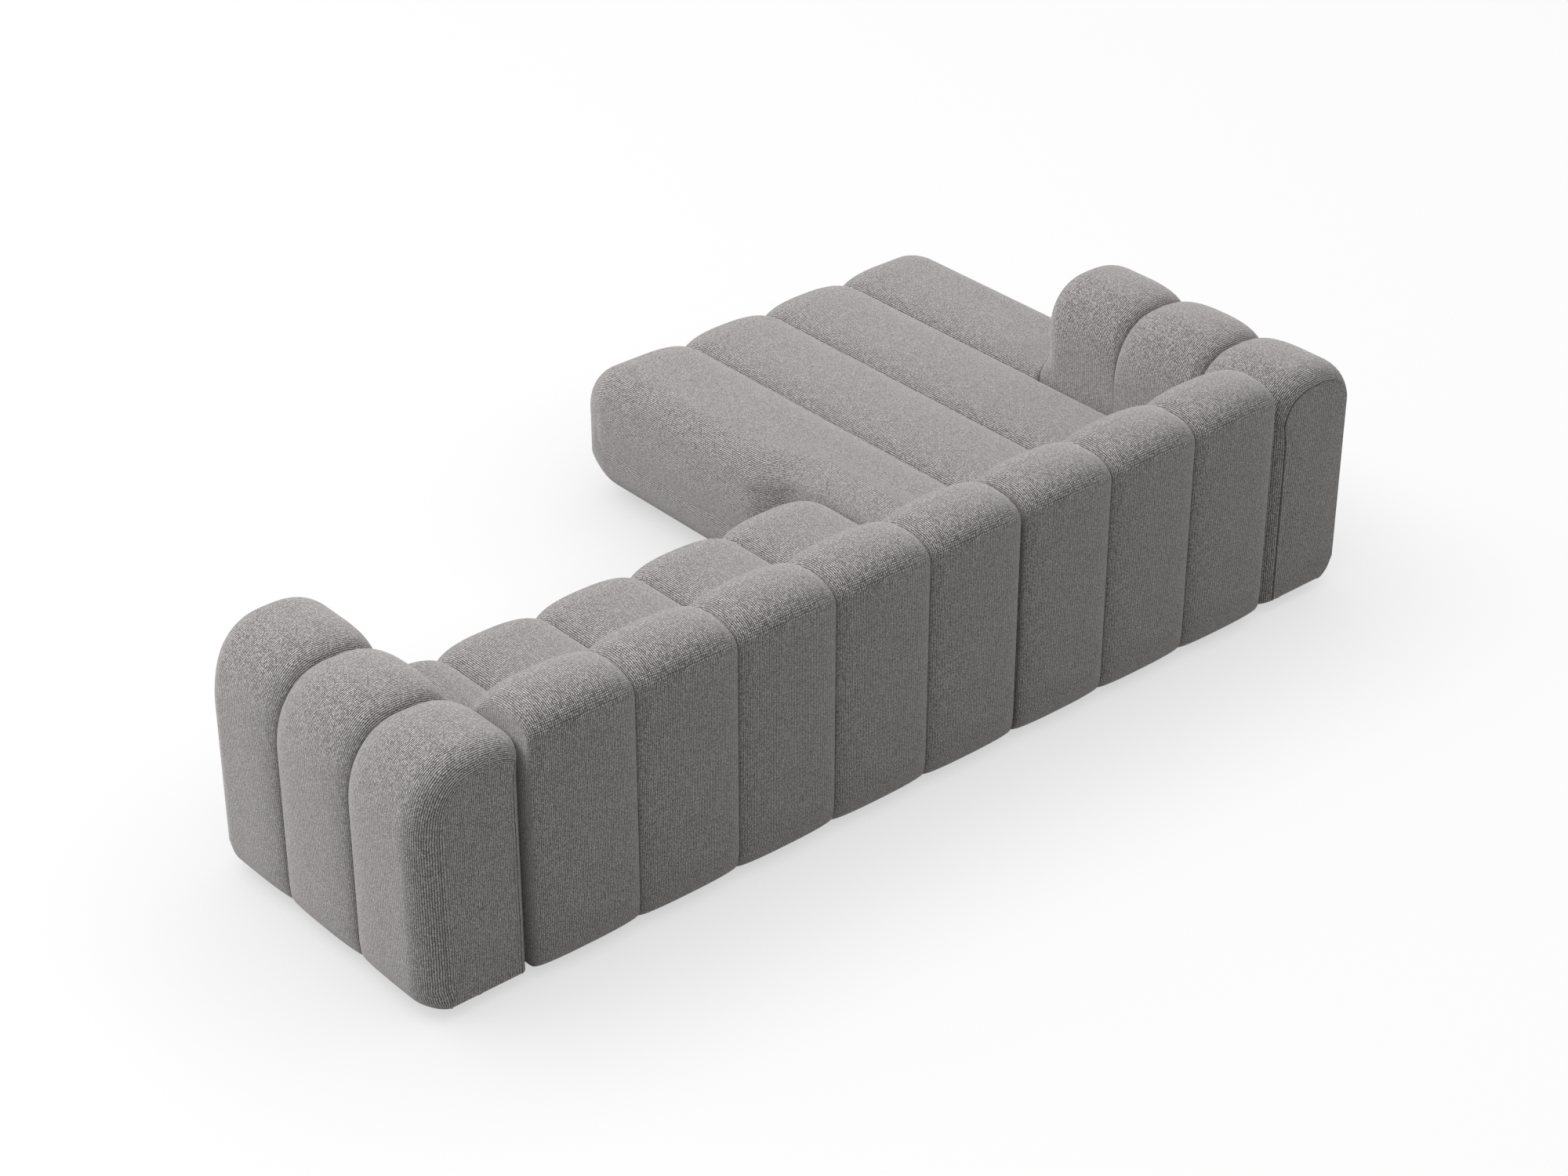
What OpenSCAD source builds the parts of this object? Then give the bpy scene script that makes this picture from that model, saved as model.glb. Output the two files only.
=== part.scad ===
// Channel-tufted corner sofa: a five-channel seat module with one arm and a
// chaise module with the other arm, hooked together under the split.
// Plan coordinates: u runs along the back, v from the back to the front,
// z up from the bottom edge of the upholstery.

/* [Channels] */
// Width of one upholstery channel, seam to seam
channel_w = 290; // [270:1:310]
// Gap between the two modules
module_gap = 12; // [10:1:16]
// Clearance left at each sewn seam
seam_gap = 0.4; // [0.2:0.1:0.8]
// Clearance between the upholstery and the woodwork in it
fit_gap = 0.3; // [0.2:0.1:0.6]

/* [Back] */
// Thickness of the back at the seams
back_t = 246; // [230:1:270]
// Height of the back seams at their top
back_h = 638; // [600:1:670]
// Highest line of the back seams, from the rear face
back_peak = 95; // [85:1:110]
// Height over which the rear edge of the back rounds over
back_rear_h = 42; // [30:1:60]
// Height over which the back slopes down to its front
back_slope_h = 207; // [190:1:220]
// Radius of the rear bottom edge of the back
back_toe_r = 30; // [20:1:40]
// Crown of a back channel on top
back_crown = 45; // [20:1:60]
// Crown of a back channel on the rear face
back_rear_crown = 25; // [10:1:35]
// Crown of a back channel on the front face
back_front_crown = 16; // [5:1:30]
// Foam in front of and behind the back frame
back_foam = 48; // [35:1:55]
// Foam over the top board of the back
back_top_foam = 110; // [100:1:125]

/* [Seat] */
// Height of the seat seams
seat_h = 328; // [300:1:345]
// Crown of a seat channel on top
seat_crown = 49; // [20:1:60]
// Crown of a seat channel on the front face
seat_front_crown = 29; // [10:1:40]
// Distance from the rear face to the front seams of the seat
seat_depth = 784; // [740:1:800]
// Distance from the rear face to the front seams of the chaise
chaise_depth = 1659; // [1500:1:1800]
// Radius of the upper front edge of the seat
nose_r = 116; // [90:1:125]
// Radius of the lower front edge of the seat
toe_r = 80; // [50:1:85]
// Foam in front of the front rails
front_foam = 45; // [35:1:60]
// Swell of the open inner side of the chaise
side_swell = 42; // [10:1:50]
// Swell of the outer side of the chaise, in front of the arm
outer_swell = 26; // [5:1:30]
// Radius of the shoulder and the front corner of the open sides
side_r = 95; // [60:1:110]
// Width by which the open sides turn in under themselves
side_under = 100; // [70:1:104]
// Height over which the open sides turn in
side_toe_h = 150; // [100:1:160]
// Foam over the open inner side rail of the chaise
inner_side_foam = 38; // [30:1:50]
// Foam over the outer side rail of the chaise
outer_side_foam = 80; // [76:1:90]

/* [Arms] */
// Width of an arm at its seams
arm_w = 268; // [255:1:280]
// Height of the seat arm's seams at their top
arm_h = 581; // [560:1:620]
// Height of the chaise arm's seams at their top
chaise_arm_h = 595; // [560:1:620]
// Height over which the top of an arm rounds over
arm_round_h = 165; // [140:1:180]
// Length of one arm lobe, seam to seam
lobe_l = 277; // [272:1:285]
// Crown of an arm lobe on top
arm_crown = 55; // [20:1:65]
// Crown of an arm lobe on the outer side
arm_side_crown = 22; // [2:1:30]
// Crown of the chaise arm's lobes on the outer side
chaise_arm_crown = 44; // [10:1:50]
// Radius of the outer bottom edge of an arm
arm_toe = 32; // [15:1:35]
// Height by which the bottom edge rises at the ends of an arm
arm_end_toe = 14; // [5:1:20]
// Radius of the rounded ends of an arm
arm_end_r = 72; // [50:1:80]
// Gap between an arm and its module
arm_gap = 4; // [2:1:8]
// Padding on the inner side of an arm
arm_inner_foam = 14; // [10:1:20]
// Foam on the outer side of an arm
arm_outer_foam = 36; // [30:1:45]
// Foam on the ends of an arm
arm_end_foam = 32; // [28:1:36]
// Height of the arm side panels above the upholstery's bottom edge
arm_panel_h = 430; // [400:1:450]
// Height of the arm ribs above the upholstery's bottom edge
arm_rib_h = 516; // [500:1:530]

/* [Woodwork] */
// Height of the seat deck above the upholstery's bottom edge
deck_h = 176; // [160:1:190]
// Thickness of the base rails
rail_t = 28; // [22:1:30]
// Length of the stub tenons
tenon_l = 12; // [8:1:14]
// Height of the stub tenons
tenon_h = 70; // [50:1:90]
// Thickness of the uprights, ribs and boards
board_t = 18; // [15:1:20]
// Thickness of the hardboard panels in the back
panel_t = 4; // [3:1:6]
// Height of the corner blocks
block_h = 40; // [32:1:50]
// Side of the corner blocks
block_w = 104; // [96:1:120]
// Drop of the cross rails below the deck
cross_drop = 16; // [10:1:24]
// Padding on the sides that meet an arm or the other module
side_pad = 8; // [6:1:10]
// Thickness of the upholstery turned under the rails
lip_t = 10; // [8:1:12]
// Width of the upholstery turned under the rails
lip_w = 16; // [12:1:18]

/* [Webbing] */
// Width of a webbing strap
strap_w = 70; // [50:1:80]
// Thickness of a webbing strap
strap_t = 2; // [1.5:0.1:2.5]
// Clearance between crossing straps
weave_gap = 0.3; // [0.2:0.1:0.6]
// Thickness of the dust covers
dust_t = 1; // [0.8:0.1:1.5]

/* [Feet and fixings] */
// Height of the feet below the upholstery
foot_clear = 25; // [20:1:40]
// Radius of a foot at its top
foot_r = 28; // [24:1:30]
// Radius of a foot on the floor
foot_base_r = 25; // [20:1:28]
// Radius of a foot's stud and of the bolts
bolt_r = 4; // [3:0.5:5]
// Length of a foot's stud
stud_l = 26; // [20:1:30]
// Running clearance round bolts and studs
bolt_gap = 0.3; // [0.2:0.1:0.5]
// Radius of a bolt head
head_r = 8; // [7:1:10]
// Thickness of a bolt head
head_t = 4.5; // [3:0.5:6]
// Thickness of the connector plates
plate_t = 3; // [2.5:0.5:4]
// Width of a connector plate
plate_w = 62; // [50:1:70]
// Height of a connector plate's upright leg above the rail's bottom
plate_h = 64; // [50:1:80]
// Width of the hooked tongue
tongue_w = 30; // [24:1:36]
// Depth that the tongue hangs below its plate
tongue_l = 13; // [10:1:15]
// Clearance round the tongue in its slot
tongue_gap = 0.4; // [0.3:0.1:0.8]

/* [Hidden] */
$fn = 32;

fabric = [0.56, 0.55, 0.54];
ply = [0.79, 0.66, 0.46];
beech = [0.74, 0.58, 0.38];
hardboard = [0.45, 0.33, 0.22];
steel = [0.6, 0.61, 0.63];
black = [0.06, 0.06, 0.06];
web = [0.16, 0.16, 0.17];
lining = [0.1, 0.1, 0.11];

seat_n = 5;
chaise_back_n = 3;
chaise_n = 4;
lobe_n = 3;

// Plan positions of the two modules
seat_u1 = seat_n * channel_w;
chaise_u0 = seat_u1 + module_gap;
chaise_back_u1 = chaise_u0 + chaise_back_n * channel_w;
chaise_u1 = chaise_u0 + chaise_n * channel_w;
seat_v0 = back_t + seam_gap;
arm_l = lobe_n * lobe_l;
last_v0 = arm_l + arm_gap;
open_v0 = seat_depth + seat_front_crown;

// How the crowns fade: towards the bottom edge, above the seat and along an open side
crown_low = 0.3;
crown_low_h = 90;
front_ramp = 80;
side_ramp = 160;
arm_ramp = arm_h - seat_h - seat_crown;
square_ramp = 80;

// Superellipse exponents of the back's and the arms' tops, and points over them. Each arm
// is fuller on its side of high u.
back_rear_e = 2.8;
back_rear_steps = 4;
back_front_e = 1.8;
back_front_steps = 5;
arm_full_e = 3.2;
arm_slack_e = 2.3;
arm_steps = 5;
nose_e = 0.9;

// Woodwork faces
seat_f0 = side_pad;
seat_f1 = seat_u1 - side_pad;
ch_f0 = chaise_u0 + inner_side_foam;
ch_f1 = chaise_back_u1 - side_pad;
ch_f2 = chaise_u1 - outer_side_foam;
frame_v0 = back_foam;
back_v1 = back_t - back_foam;
seat_fv = seat_depth - front_foam;
ch_fv = chaise_depth - front_foam;
bay_v0 = last_v0 + side_pad;
deck_top = deck_h + 2 * (strap_t + weave_gap);
mid_v0 = back_v1 - rail_t / 2;
mid_v1 = mid_v0 + rail_t;
back_top = back_h - back_top_foam;
cross_top = deck_h - cross_drop;
tenon_z = lip_t + (cross_top - lip_t - tenon_h) / 2;

// Small helpers
function smooth(x) = let (t = min(1, max(0, x))) t * t * (3 - 2 * t);
function swell(t, e = 2.6) = pow(max(0, 1 - pow(abs(t), e)), 1 / e);
function low_share(z) = min(1, crown_low + z / crown_low_h);
function signed_pow(x, p) = sign(x) * pow(abs(x), p);
function normal(path, i) =
  let (a = path[max(0, i - 1)], b = path[min(len(path) - 1, i + 1)], d = b - a, l = norm(d))
  [-d[1] / l, d[0] / l];
// Quarter of a superellipse about c with the half axes r, from the angle a0 to a1
function bend(c, r, e, a0, a1, n) =
  [for (i = [0:n]) let (a = a0 + (a1 - a0) * i / n)
    [c[0] + r[0] * signed_pow(cos(a), 2 / e), c[1] + r[1] * signed_pow(sin(a), 2 / e)]];
// Top of a profile: up from its left side over the peak and down to its right side
function crest(top, left, right, e, n) = let (a = 90 / n[1]) concat(
  bend([top[0], top[1] - left[1]], left, e[0], 180, 90, n[0]),
  bend([top[0], top[1] - right[1]], right, e[1], 90 - a, 0, n[1] - 1));

module block(a, b) {
  translate(a) cube(b - a);
}

// Turns plan coordinates into the sofa's own frame: front at -Y, floor at z = 0
module to_frame() {
  translate([(u_low + u_high) / 2, (v_low + v_high) / 2, foot_clear])
    rotate([0, 0, 180]) children();
}

// Solid through a row of closed rings; flip turns the faces for rings along u. The ends
// are closed by joining each point to its opposite, or to the one that match gives,
// counted from the end of the ring.
module loft(rings, flip = false, match = []) {
  n = len(rings[0]);
  m = len(rings);
  near = len(match) == 0 ? [for (i = [0:ceil(n / 2) - 2]) each concat([[i, i + 1, n - 1 - i]],
      i + 1 == n - 2 - i ? [] : [[i + 1, n - 2 - i, n - 1 - i]])]
    : [for (i = [0:len(match) - 2]) each concat([[i, i + 1, n - 1 - match[i]]],
      [for (k = [match[i]:1:match[i + 1] - 1]) [i + 1, n - 2 - k, n - 1 - k]])];
  far = [for (f = near) [for (i = [len(f) - 1:-1:0]) f[i] + n * (m - 1)]];
  sides = [for (j = [0:m - 2]) for (i = [0:n - 1])
    let (a = j * n + i, b = j * n + (i + 1) % n, c = b + n, d = a + n) each [[a, d, c], [a, c, b]]];
  faces = concat(near, far, sides);
  polyhedron([for (r = rings) each r],
    flip ? [for (f = faces) [for (i = [len(f) - 1:-1:0]) f[i]]] : faces);
}

// Stations across a channel, crowded towards the seams
stations = [for (i = [-4:4]) sin(i * 22.5)];

// Back profile: up the rear face, over the top and down the front face
back_mid = 0.6 * back_h;
back_path = concat(
  [[back_toe_r, 0], [0.29 * back_toe_r, 0.29 * back_toe_r], [0, back_toe_r], [0, back_mid]],
  crest([back_peak, back_h], [back_peak, back_rear_h], [back_t - back_peak, back_slope_h],
    [back_rear_e, back_front_e], [back_rear_steps, back_front_steps]),
  [[back_t, seat_h + seat_crown], [back_t, deck_top + fit_gap]]);

// Inside of the same profile: round the back frame and under its rear rail
back_inside = [[back_v1 + fit_gap, deck_top + fit_gap], [back_v1 + fit_gap, back_top + fit_gap],
  [frame_v0 - fit_gap, back_top + fit_gap], [frame_v0 - fit_gap, lip_t - fit_gap],
  [frame_v0 + lip_w, lip_t - fit_gap], [frame_v0 + lip_w, 0]];
back_match = [for (i = [0:len(back_path) - 1])
  i == 0 ? 0 : i < 4 ? 2 : i <= 4 + back_rear_steps ? 3 : i < len(back_path) - 1 ? 4 : 5];
back_solid = [[back_t, 0]];

function back_amp(p) =
  let (rear = p[0] < back_peak, low = rear ? back_h - back_rear_h : back_mid,
    top = max(0, min(1, (p[1] - low) / (back_h - low))),
    side = rear ? back_rear_crown : back_front_crown,
    share = rear ? low_share(p[1]) : smooth((p[1] - seat_h - seat_crown) / front_ramp))
  share * (side * (1 - top * top) + back_crown * top * top);

// Overall size, which centres the sofa on its footprint
u_low = -arm_gap - arm_w - arm_side_crown;
u_high = max(chaise_u1 + outer_swell, chaise_back_u1 + arm_gap + arm_w + chaise_arm_crown);
v_low = min([for (i = [0:len(back_path) - 1])
  back_path[i][0] + normal(back_path, i)[0] * back_amp(back_path[i])]);
v_high = chaise_depth + seat_front_crown;

module back_form(inside, match = []) {
  w = channel_w - seam_gap;
  loft([for (t = stations) let (u = seam_gap / 2 + w * (1 + t) / 2)
    concat([for (i = [0:len(back_path) - 1])
      let (p = back_path[i], q = p + normal(back_path, i) * back_amp(p) * swell(t))
      [u, q[0], max(0, q[1])]],
      [for (p = inside) [u, p[0], p[1]]])], flip = true, match = match);
}

// Back channel at the end of a module, closed by a wall at its low side
module back_end_form(wall, bored) {
  g = fit_gap;
  far = channel_w + 1;
  difference() {
    back_form(back_solid);
    block([wall - g, frame_v0 - g, lip_t - g], [far, back_t + 1, deck_top + g]);
    block([wall - g, frame_v0 - g, deck_h], [far, back_v1 + g, back_top + g]);
    block([wall + lip_w, frame_v0 + lip_w, -1], [far, back_t + 1, lip_t]);
    if (bored) translate([-1, bolt_v[0], bolt_z]) rotate([0, 90, 0])
      cylinder(h = wall + 2, r = bolt_r + bore_wide);
  }
}

// Seat profile: forward along the top through the places given, over the nose, down the
// front, round the toe and back along the bottom
function seat_path(tops, v1) = concat(
  [for (v = tops) [v, seat_h]],
  [for (i = [0:5]) let (a = 90 - 18 * i)
    [v1 - nose_r + nose_r * pow(cos(a), nose_e), seat_h - nose_r + nose_r * pow(sin(a), nose_e)]],
  [for (i = [0:4]) let (a = -22.5 * i) [v1 - toe_r + toe_r * cos(a), toe_r + toe_r * sin(a)]],
  [[v1 - nose_r, 0]],
  [for (i = [len(tops) - 1:-1:0]) [tops[i], 0]]);

function seat_amp(p) =
  let (front = smooth((seat_h - p[1]) / nose_r))
  low_share(p[1]) * (seat_crown * (1 - front) + seat_front_crown * front);

module seat_form(u0, v0, v1) {
  w = channel_w - seam_gap;
  path = seat_path([v0], v1);
  loft([for (t = stations) [for (i = [0:len(path) - 1])
    let (p = path[i], q = p + normal(path, i) * seat_amp(p) * swell(t))
    [u0 + seam_gap / 2 + w * (1 + t) / 2, q[0], max(0, q[1])]]], flip = true);
}

// Chaise channel with an open side. The seam is at x = 0 and the side at x = channel_w;
// past open_v the side swells by out, and its shoulder, front corner and toe round over.
// Stations hold [share of the width while closed, share of the crown while closed,
// place across, share of the crown and angle of the rounding while open].
function side_stations(out) = concat(
  [for (t = stations) if (t <= 0) [(1 + t) / 2, swell(t), channel_w * (1 + t) / 2, swell(t), 0]],
  [for (i = [0:5]) let (t = sin(15 * (i + 1)), a = 18 * i)
    [(1 + t) / 2, swell(t), channel_w + out - side_r * (1 - sin(a)), 1, a]]);

function under_lift(x, edge) = let (t = min(1, max(0, x - edge + side_under) / side_under))
  side_toe_h * (1 - sqrt(1 - t * t));

module side_form(tops, v1, open_v, out) {
  path = seat_path(tops, v1);
  loft([for (s = side_stations(out)) let (inset = side_r * (1 - cos(s[4])),
      lift = under_lift(s[2], channel_w + out))
    [for (i = [0:len(path) - 1]) let (p = path[i], n = normal(path, i),
        open = smooth((p[0] - open_v) / side_ramp),
        full = seat_amp(p) * (s[1] * (1 - open) + s[3] * open),
        x = channel_w * s[0] * (1 - open) + s[2] * open)
      [max(seam_gap / 2, x), p[0] + n[0] * (full - inset * open),
        max(0, p[1] + max(0, n[1]) * (full - inset * open)
          + lift * open * max(0, 1 - p[1] / (seat_h - nose_r)))]]],
    flip = true);
}

// Arm profile: up the inner side (x = 0), over the arch and down the outer side
arm_mid = 0.62 * arm_h;
function arm_profile(chaise) = let (h = chaise ? chaise_arm_h : arm_h) concat(
  [for (i = [0:3]) [0, i * arm_toe / 3]],
  [[0, arm_mid]],
  crest([arm_w / 2, h], [arm_w / 2, arm_round_h], [arm_w / 2, arm_round_h],
    chaise ? [arm_slack_e, arm_full_e] : [arm_full_e, arm_slack_e], [arm_steps, arm_steps]),
  [[arm_w, arm_mid]],
  [for (i = [0:3]) let (a = -30 * i) [arm_w - arm_toe + arm_toe * cos(a), arm_toe + arm_toe * sin(a)]]);

// Both arms are fuller on the side of high u: the seat arm on its inner side, the chaise
// arm on its outer side. The other side rounds more at the arm's ends.
end_share = 0.58;
function arm_swell(p, h, fuller, flat) =
  let (start = 1.1 * arm_mid, inner = p[0] < arm_w / 2,
    top = fuller ? smooth((p[1] - seat_h - seat_crown) / arm_ramp)
      : pow(max(0, min(1, (p[1] - start) / (h - start))), inner ? 2 : 3))
  low_share(p[1]) * (flat * (1 - top) + arm_crown * top);

// Solid of lobe k through rings given as [place along the arm, crown share, inset]; its
// inner side stays flat below the shoulder, and all the way up beside the back. Low down,
// where the chaise's seat meets it, the front end of the chaise arm stays square.
module lobe_rings(list, chaise, k) {
  path = arm_profile(chaise);
  h = chaise ? chaise_arm_h : arm_h;
  loft([for (s = list)
    [for (i = [0:len(path) - 1])
      let (p = path[i], n = normal(path, i), inner = p[0] < arm_w / 2,
        across = chaise ? p[0] / arm_w : 1 - p[0] / arm_w,
        crown = chaise ? chaise_arm_crown : arm_side_crown,
        out = s[1] * arm_swell(p, h, chaise != inner, inner ? 0 : crown),
        bare = chaise && inner && k == lobe_n - 1 ? smooth((p[1] - arm_mid) / square_ramp) : 1,
        inset = s[2] * bare * (1 - across * (1 - end_share)),
        low = p[1] <= arm_toe, flat = k == 0 || p[1] <= arm_mid)
      [min(arm_w + crown, max(flat ? 0 : -arm_crown, p[0] + n[0] * out)) - n[0] * inset, s[0],
        max(0, p[1] + (low ? arm_end_toe * s[2] / arm_end_r * (1 - p[1] / arm_toe)
          : n[1] * (out - inset)))]]]);
}

module lobe_form(k, chaise = false) {
  v0 = k * lobe_l + seam_gap / 2;
  w = lobe_l - seam_gap;
  full = [for (t = stations) [v0 + w * (1 + t) / 2, swell(t), 0]];
  half = [for (t = stations) if (t >= 0) [w * (1 + t) / 2, swell(t), 0]];
  round_end = [for (i = [0:5]) let (a = 18 * i)
    [arm_end_r * (1 - sin(a)), 1, arm_end_r * (1 - cos(a))]];
  end_list = concat([for (i = [5:-1:0]) round_end[i]], half);
  if (k == 0) lobe_rings(end_list, chaise, k);
  else if (k == lobe_n - 1) lobe_rings([for (i = [len(end_list) - 1:-1:0])
    [arm_l - end_list[i][0], end_list[i][1], end_list[i][2]]], chaise, k);
  else lobe_rings(full, chaise, k);
}

// Hollow that the upholstery of the seat module leaves for its woodwork
module seat_cavity() {
  g = fit_gap;
  block([seat_f0 - g, frame_v0 - g, lip_t - g], [seat_f1 + g, seat_fv + g, deck_top + g]);
  block([seat_f0 - g, frame_v0 - g, deck_h], [seat_f1 + g, back_v1 + g, back_top + g]);
  block([seat_f0 + lip_w, frame_v0 + lip_w, -1], [seat_f1 - lip_w, seat_fv - lip_w, lip_t]);
  seat_arm_bores(bolt_r + bore_wide);
}

module chaise_cavity() {
  g = fit_gap;
  block([ch_f0 - g, frame_v0 - g, lip_t - g], [ch_f1 + g, ch_fv + g, deck_top + g]);
  block([ch_f0 - g, frame_v0 - g, deck_h], [ch_f1 + g, back_v1 + g, back_top + g]);
  block([ch_f1 - g, bay_v0 - g, lip_t - g], [ch_f2 + g, ch_fv + g, deck_top + g]);
  block([ch_f0 + lip_w, frame_v0 + lip_w, -1], [ch_f1 - lip_w, ch_fv - lip_w, lip_t]);
  block([ch_f1 - lip_w - 1, bay_v0 + lip_w, -1], [ch_f2 - lip_w, ch_fv - lip_w, lip_t]);
  chaise_arm_bores(bolt_r + bore_wide);
}

// Arm pieces are drawn with x = 0 on the inner side; these put them on their modules
module seat_arm() {
  translate([-arm_gap, 0, 0]) mirror([1, 0, 0]) children();
}

module chaise_arm() {
  translate([chaise_back_u1 + arm_gap, 0, 0]) children();
}

arm_x0 = arm_inner_foam;
arm_x1 = arm_w - arm_outer_foam;
arm_y0 = arm_end_foam;
arm_y1 = arm_l - arm_end_foam;
arm_shoulder = 46;
function shoulder_z(x) = arm_panel_h + (arm_rib_h - arm_panel_h) * x / arm_shoulder;

module arm_cavity() {
  g = fit_gap;
  translate([0, arm_y1 + g, 0]) rotate([90, 0, 0]) linear_extrude(arm_y1 - arm_y0 + 2 * g)
    polygon([[arm_x0 - g, lip_t - g], [arm_x0 - g, arm_panel_h + g],
      [arm_x0 + arm_shoulder - g, arm_rib_h + g], [arm_x1 - arm_shoulder + g, arm_rib_h + g],
      [arm_x1 + g, arm_panel_h + g], [arm_x1 + g, lip_t - g]]);
  block([arm_x0 + lip_w, arm_y0 - g, -1], [arm_x1 - lip_w, arm_y1 + g, lip_t]);
}

// Bolts that hold the arms: height and length; bolt_v below holds their places
bolt_z = 100;
arm_bolt_l = rail_t + side_pad + arm_gap + arm_inner_foam + board_t - 2;
bore_wide = 1;

module seat_arm_bores(r) {
  for (v = bolt_v) translate([seat_f0 + rail_t + 1, v, bolt_z]) rotate([0, -90, 0])
    cylinder(h = arm_bolt_l + 4, r = r);
}

module chaise_arm_bores(r) {
  for (v = bolt_v) translate([ch_f1 - rail_t - 1, v, bolt_z]) rotate([0, 90, 0])
    cylinder(h = arm_bolt_l + 4, r = r);
}

module bolt(l) {
  cylinder(h = l, r = bolt_r);
  translate([0, 0, -head_t]) rotate_extrude()
    polygon([[0, 0], [head_r * 0.75, 0], [head_r, head_t * 0.4], [head_r, head_t], [0, head_t]]);
}

// Upholstery of the seat module and of the chaise
module back_channel(k) {
  u0 = k < seat_n ? k * channel_w : chaise_u0 + (k - seat_n) * channel_w;
  first = k == 0 || k == seat_n;
  last = k == seat_n - 1 || k == seat_n + chaise_back_n - 1;
  color(fabric) to_frame()
    if (first) translate([u0, 0, 0]) back_end_form(k == 0 ? side_pad : inner_side_foam, k == 0);
    else if (last) translate([u0 + channel_w, 0, 0]) mirror([1, 0, 0])
      back_end_form(side_pad, k > seat_n);
    else translate([u0, 0, 0]) back_form(back_inside, back_match);
}

module seat_channel(k) {
  color(fabric) to_frame() difference() {
    seat_form(k * channel_w, seat_v0, seat_depth);
    seat_cavity();
  }
}

module chaise_channel(k) {
  color(fabric) to_frame() difference() {
    if (k == 0) translate([chaise_u0 + channel_w, 0, 0]) mirror([1, 0, 0])
      side_form([seat_v0, open_v0, for (t = [0.25:0.25:1]) open_v0 + t * side_ramp,
        chaise_depth - 2 * nose_r], chaise_depth, open_v0, side_swell);
    else if (k == chaise_n - 1) translate([chaise_back_u1, 0, 0])
      side_form([last_v0, chaise_depth - 2 * nose_r], chaise_depth, last_v0 - side_ramp,
        outer_swell);
    else seat_form(chaise_u0 + k * channel_w, seat_v0, chaise_depth);
    chaise_cavity();
  }
}

module seat_arm_channel(k) {
  color(fabric) to_frame() difference() {
    seat_arm() difference() {
      lobe_form(k);
      arm_cavity();
    }
    seat_arm_bores(bolt_r + bore_wide);
  }
}

module chaise_arm_channel(k) {
  color(fabric) to_frame() difference() {
    chaise_arm() difference() {
      lobe_form(k, chaise = true);
      arm_cavity();
    }
    chaise_arm_bores(bolt_r + bore_wide);
  }
}

// Rails with stub tenons; the same tongue, made larger by a gap, cuts the mortises
module tongue_v(u0, v0, v1, g = 0) {
  block([u0 + rail_t / 3 - g, v0 - tenon_l - g, tenon_z - g],
    [u0 + 2 * rail_t / 3 + g, v1 + tenon_l + g, tenon_z + tenon_h + g]);
}

module tongue_u(v0, u0, u1, g = 0) {
  block([u0 - tenon_l - g, v0 + rail_t / 3 - g, tenon_z - g],
    [u1 + tenon_l + g, v0 + 2 * rail_t / 3 + g, tenon_z + tenon_h + g]);
}

// Oval openings, and one through a rail or upright that stands along v
oval_h = 60;
rail_oval_l = 150;
back_oval_l = 90;
rib_oval_l = 170;

module oval(l) {
  square([l - oval_h, oval_h], center = true);
  for (s = [-1, 1]) translate([s * (l - oval_h) / 2, 0]) circle(r = oval_h / 2);
}

module oval_v(u0, t, v, z, l) {
  translate([u0 - 1, v, z]) rotate([90, 0, 90]) linear_extrude(t + 2) oval(l);
}

seat_in_v0 = frame_v0 + rail_t;
seat_in_v1 = seat_fv - rail_t;
ch_in_v1 = ch_fv - rail_t;

module seat_cross_tongues(g) {
  for (k = [1:seat_n - 1]) tongue_v(k * channel_w - rail_t / 2, mid_v1, seat_in_v1, g);
}

module seat_front_rail() {
  color(ply) to_frame() difference() {
    block([seat_f0, seat_in_v1, lip_t], [seat_f1, seat_fv, deck_h]);
    seat_cross_tongues(fit_gap);
    for (u = [seat_f0, seat_f1 - rail_t]) tongue_v(u, seat_in_v0, seat_in_v1, fit_gap);
  }
}

module seat_mid_rail() {
  color(ply) to_frame() difference() {
    union() {
      block([seat_f0 + rail_t, mid_v0, lip_t], [seat_f1 - rail_t, mid_v1, deck_h]);
      tongue_u(mid_v0, seat_f0 + rail_t, seat_f1 - rail_t);
    }
    seat_cross_tongues(fit_gap);
  }
}

module seat_rear_rail() {
  color(ply) to_frame() difference() {
    block([seat_f0, frame_v0, lip_t], [seat_f1, seat_in_v0, deck_h]);
    for (u = [seat_f0, seat_f1 - rail_t]) tongue_v(u, seat_in_v0, seat_in_v1, fit_gap);
  }
}

module seat_end_rail(u) {
  difference() {
    union() {
      block([u, seat_in_v0, lip_t], [u + rail_t, seat_in_v1, deck_h]);
      tongue_v(u, seat_in_v0, seat_in_v1);
    }
    tongue_u(mid_v0, seat_f0 + rail_t, seat_f1 - rail_t, fit_gap);
  }
}

module seat_arm_end_rail() {
  color(ply) to_frame() difference() {
    seat_end_rail(seat_f0);
    seat_arm_bores(bolt_r + bolt_gap);
  }
}

module seat_split_end_rail() {
  color(ply) to_frame() difference() {
    seat_end_rail(seat_f1 - rail_t);
    seat_plate_bolts(bolt_gap);
  }
}

module seat_cross_rails() {
  color(ply) to_frame() for (k = [1:seat_n - 1]) let (u = k * channel_w - rail_t / 2)
    difference() {
      union() {
        block([u, mid_v1, lip_t], [u + rail_t, seat_in_v1, cross_top]);
        tongue_v(u, mid_v1, seat_in_v1);
      }
      for (s = [-1, 1])
        oval_v(u, rail_t, (mid_v1 + seat_in_v1) / 2 + s * 0.7 * rail_oval_l, (lip_t + cross_top) / 2,
          rail_oval_l);
    }
}

// Corner block with its outer corner at the origin and a bore for a foot's stud
foot_in = 42;
block_end = 0.3 * block_w;
arm_block_l = 0.85 * block_w;

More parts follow.
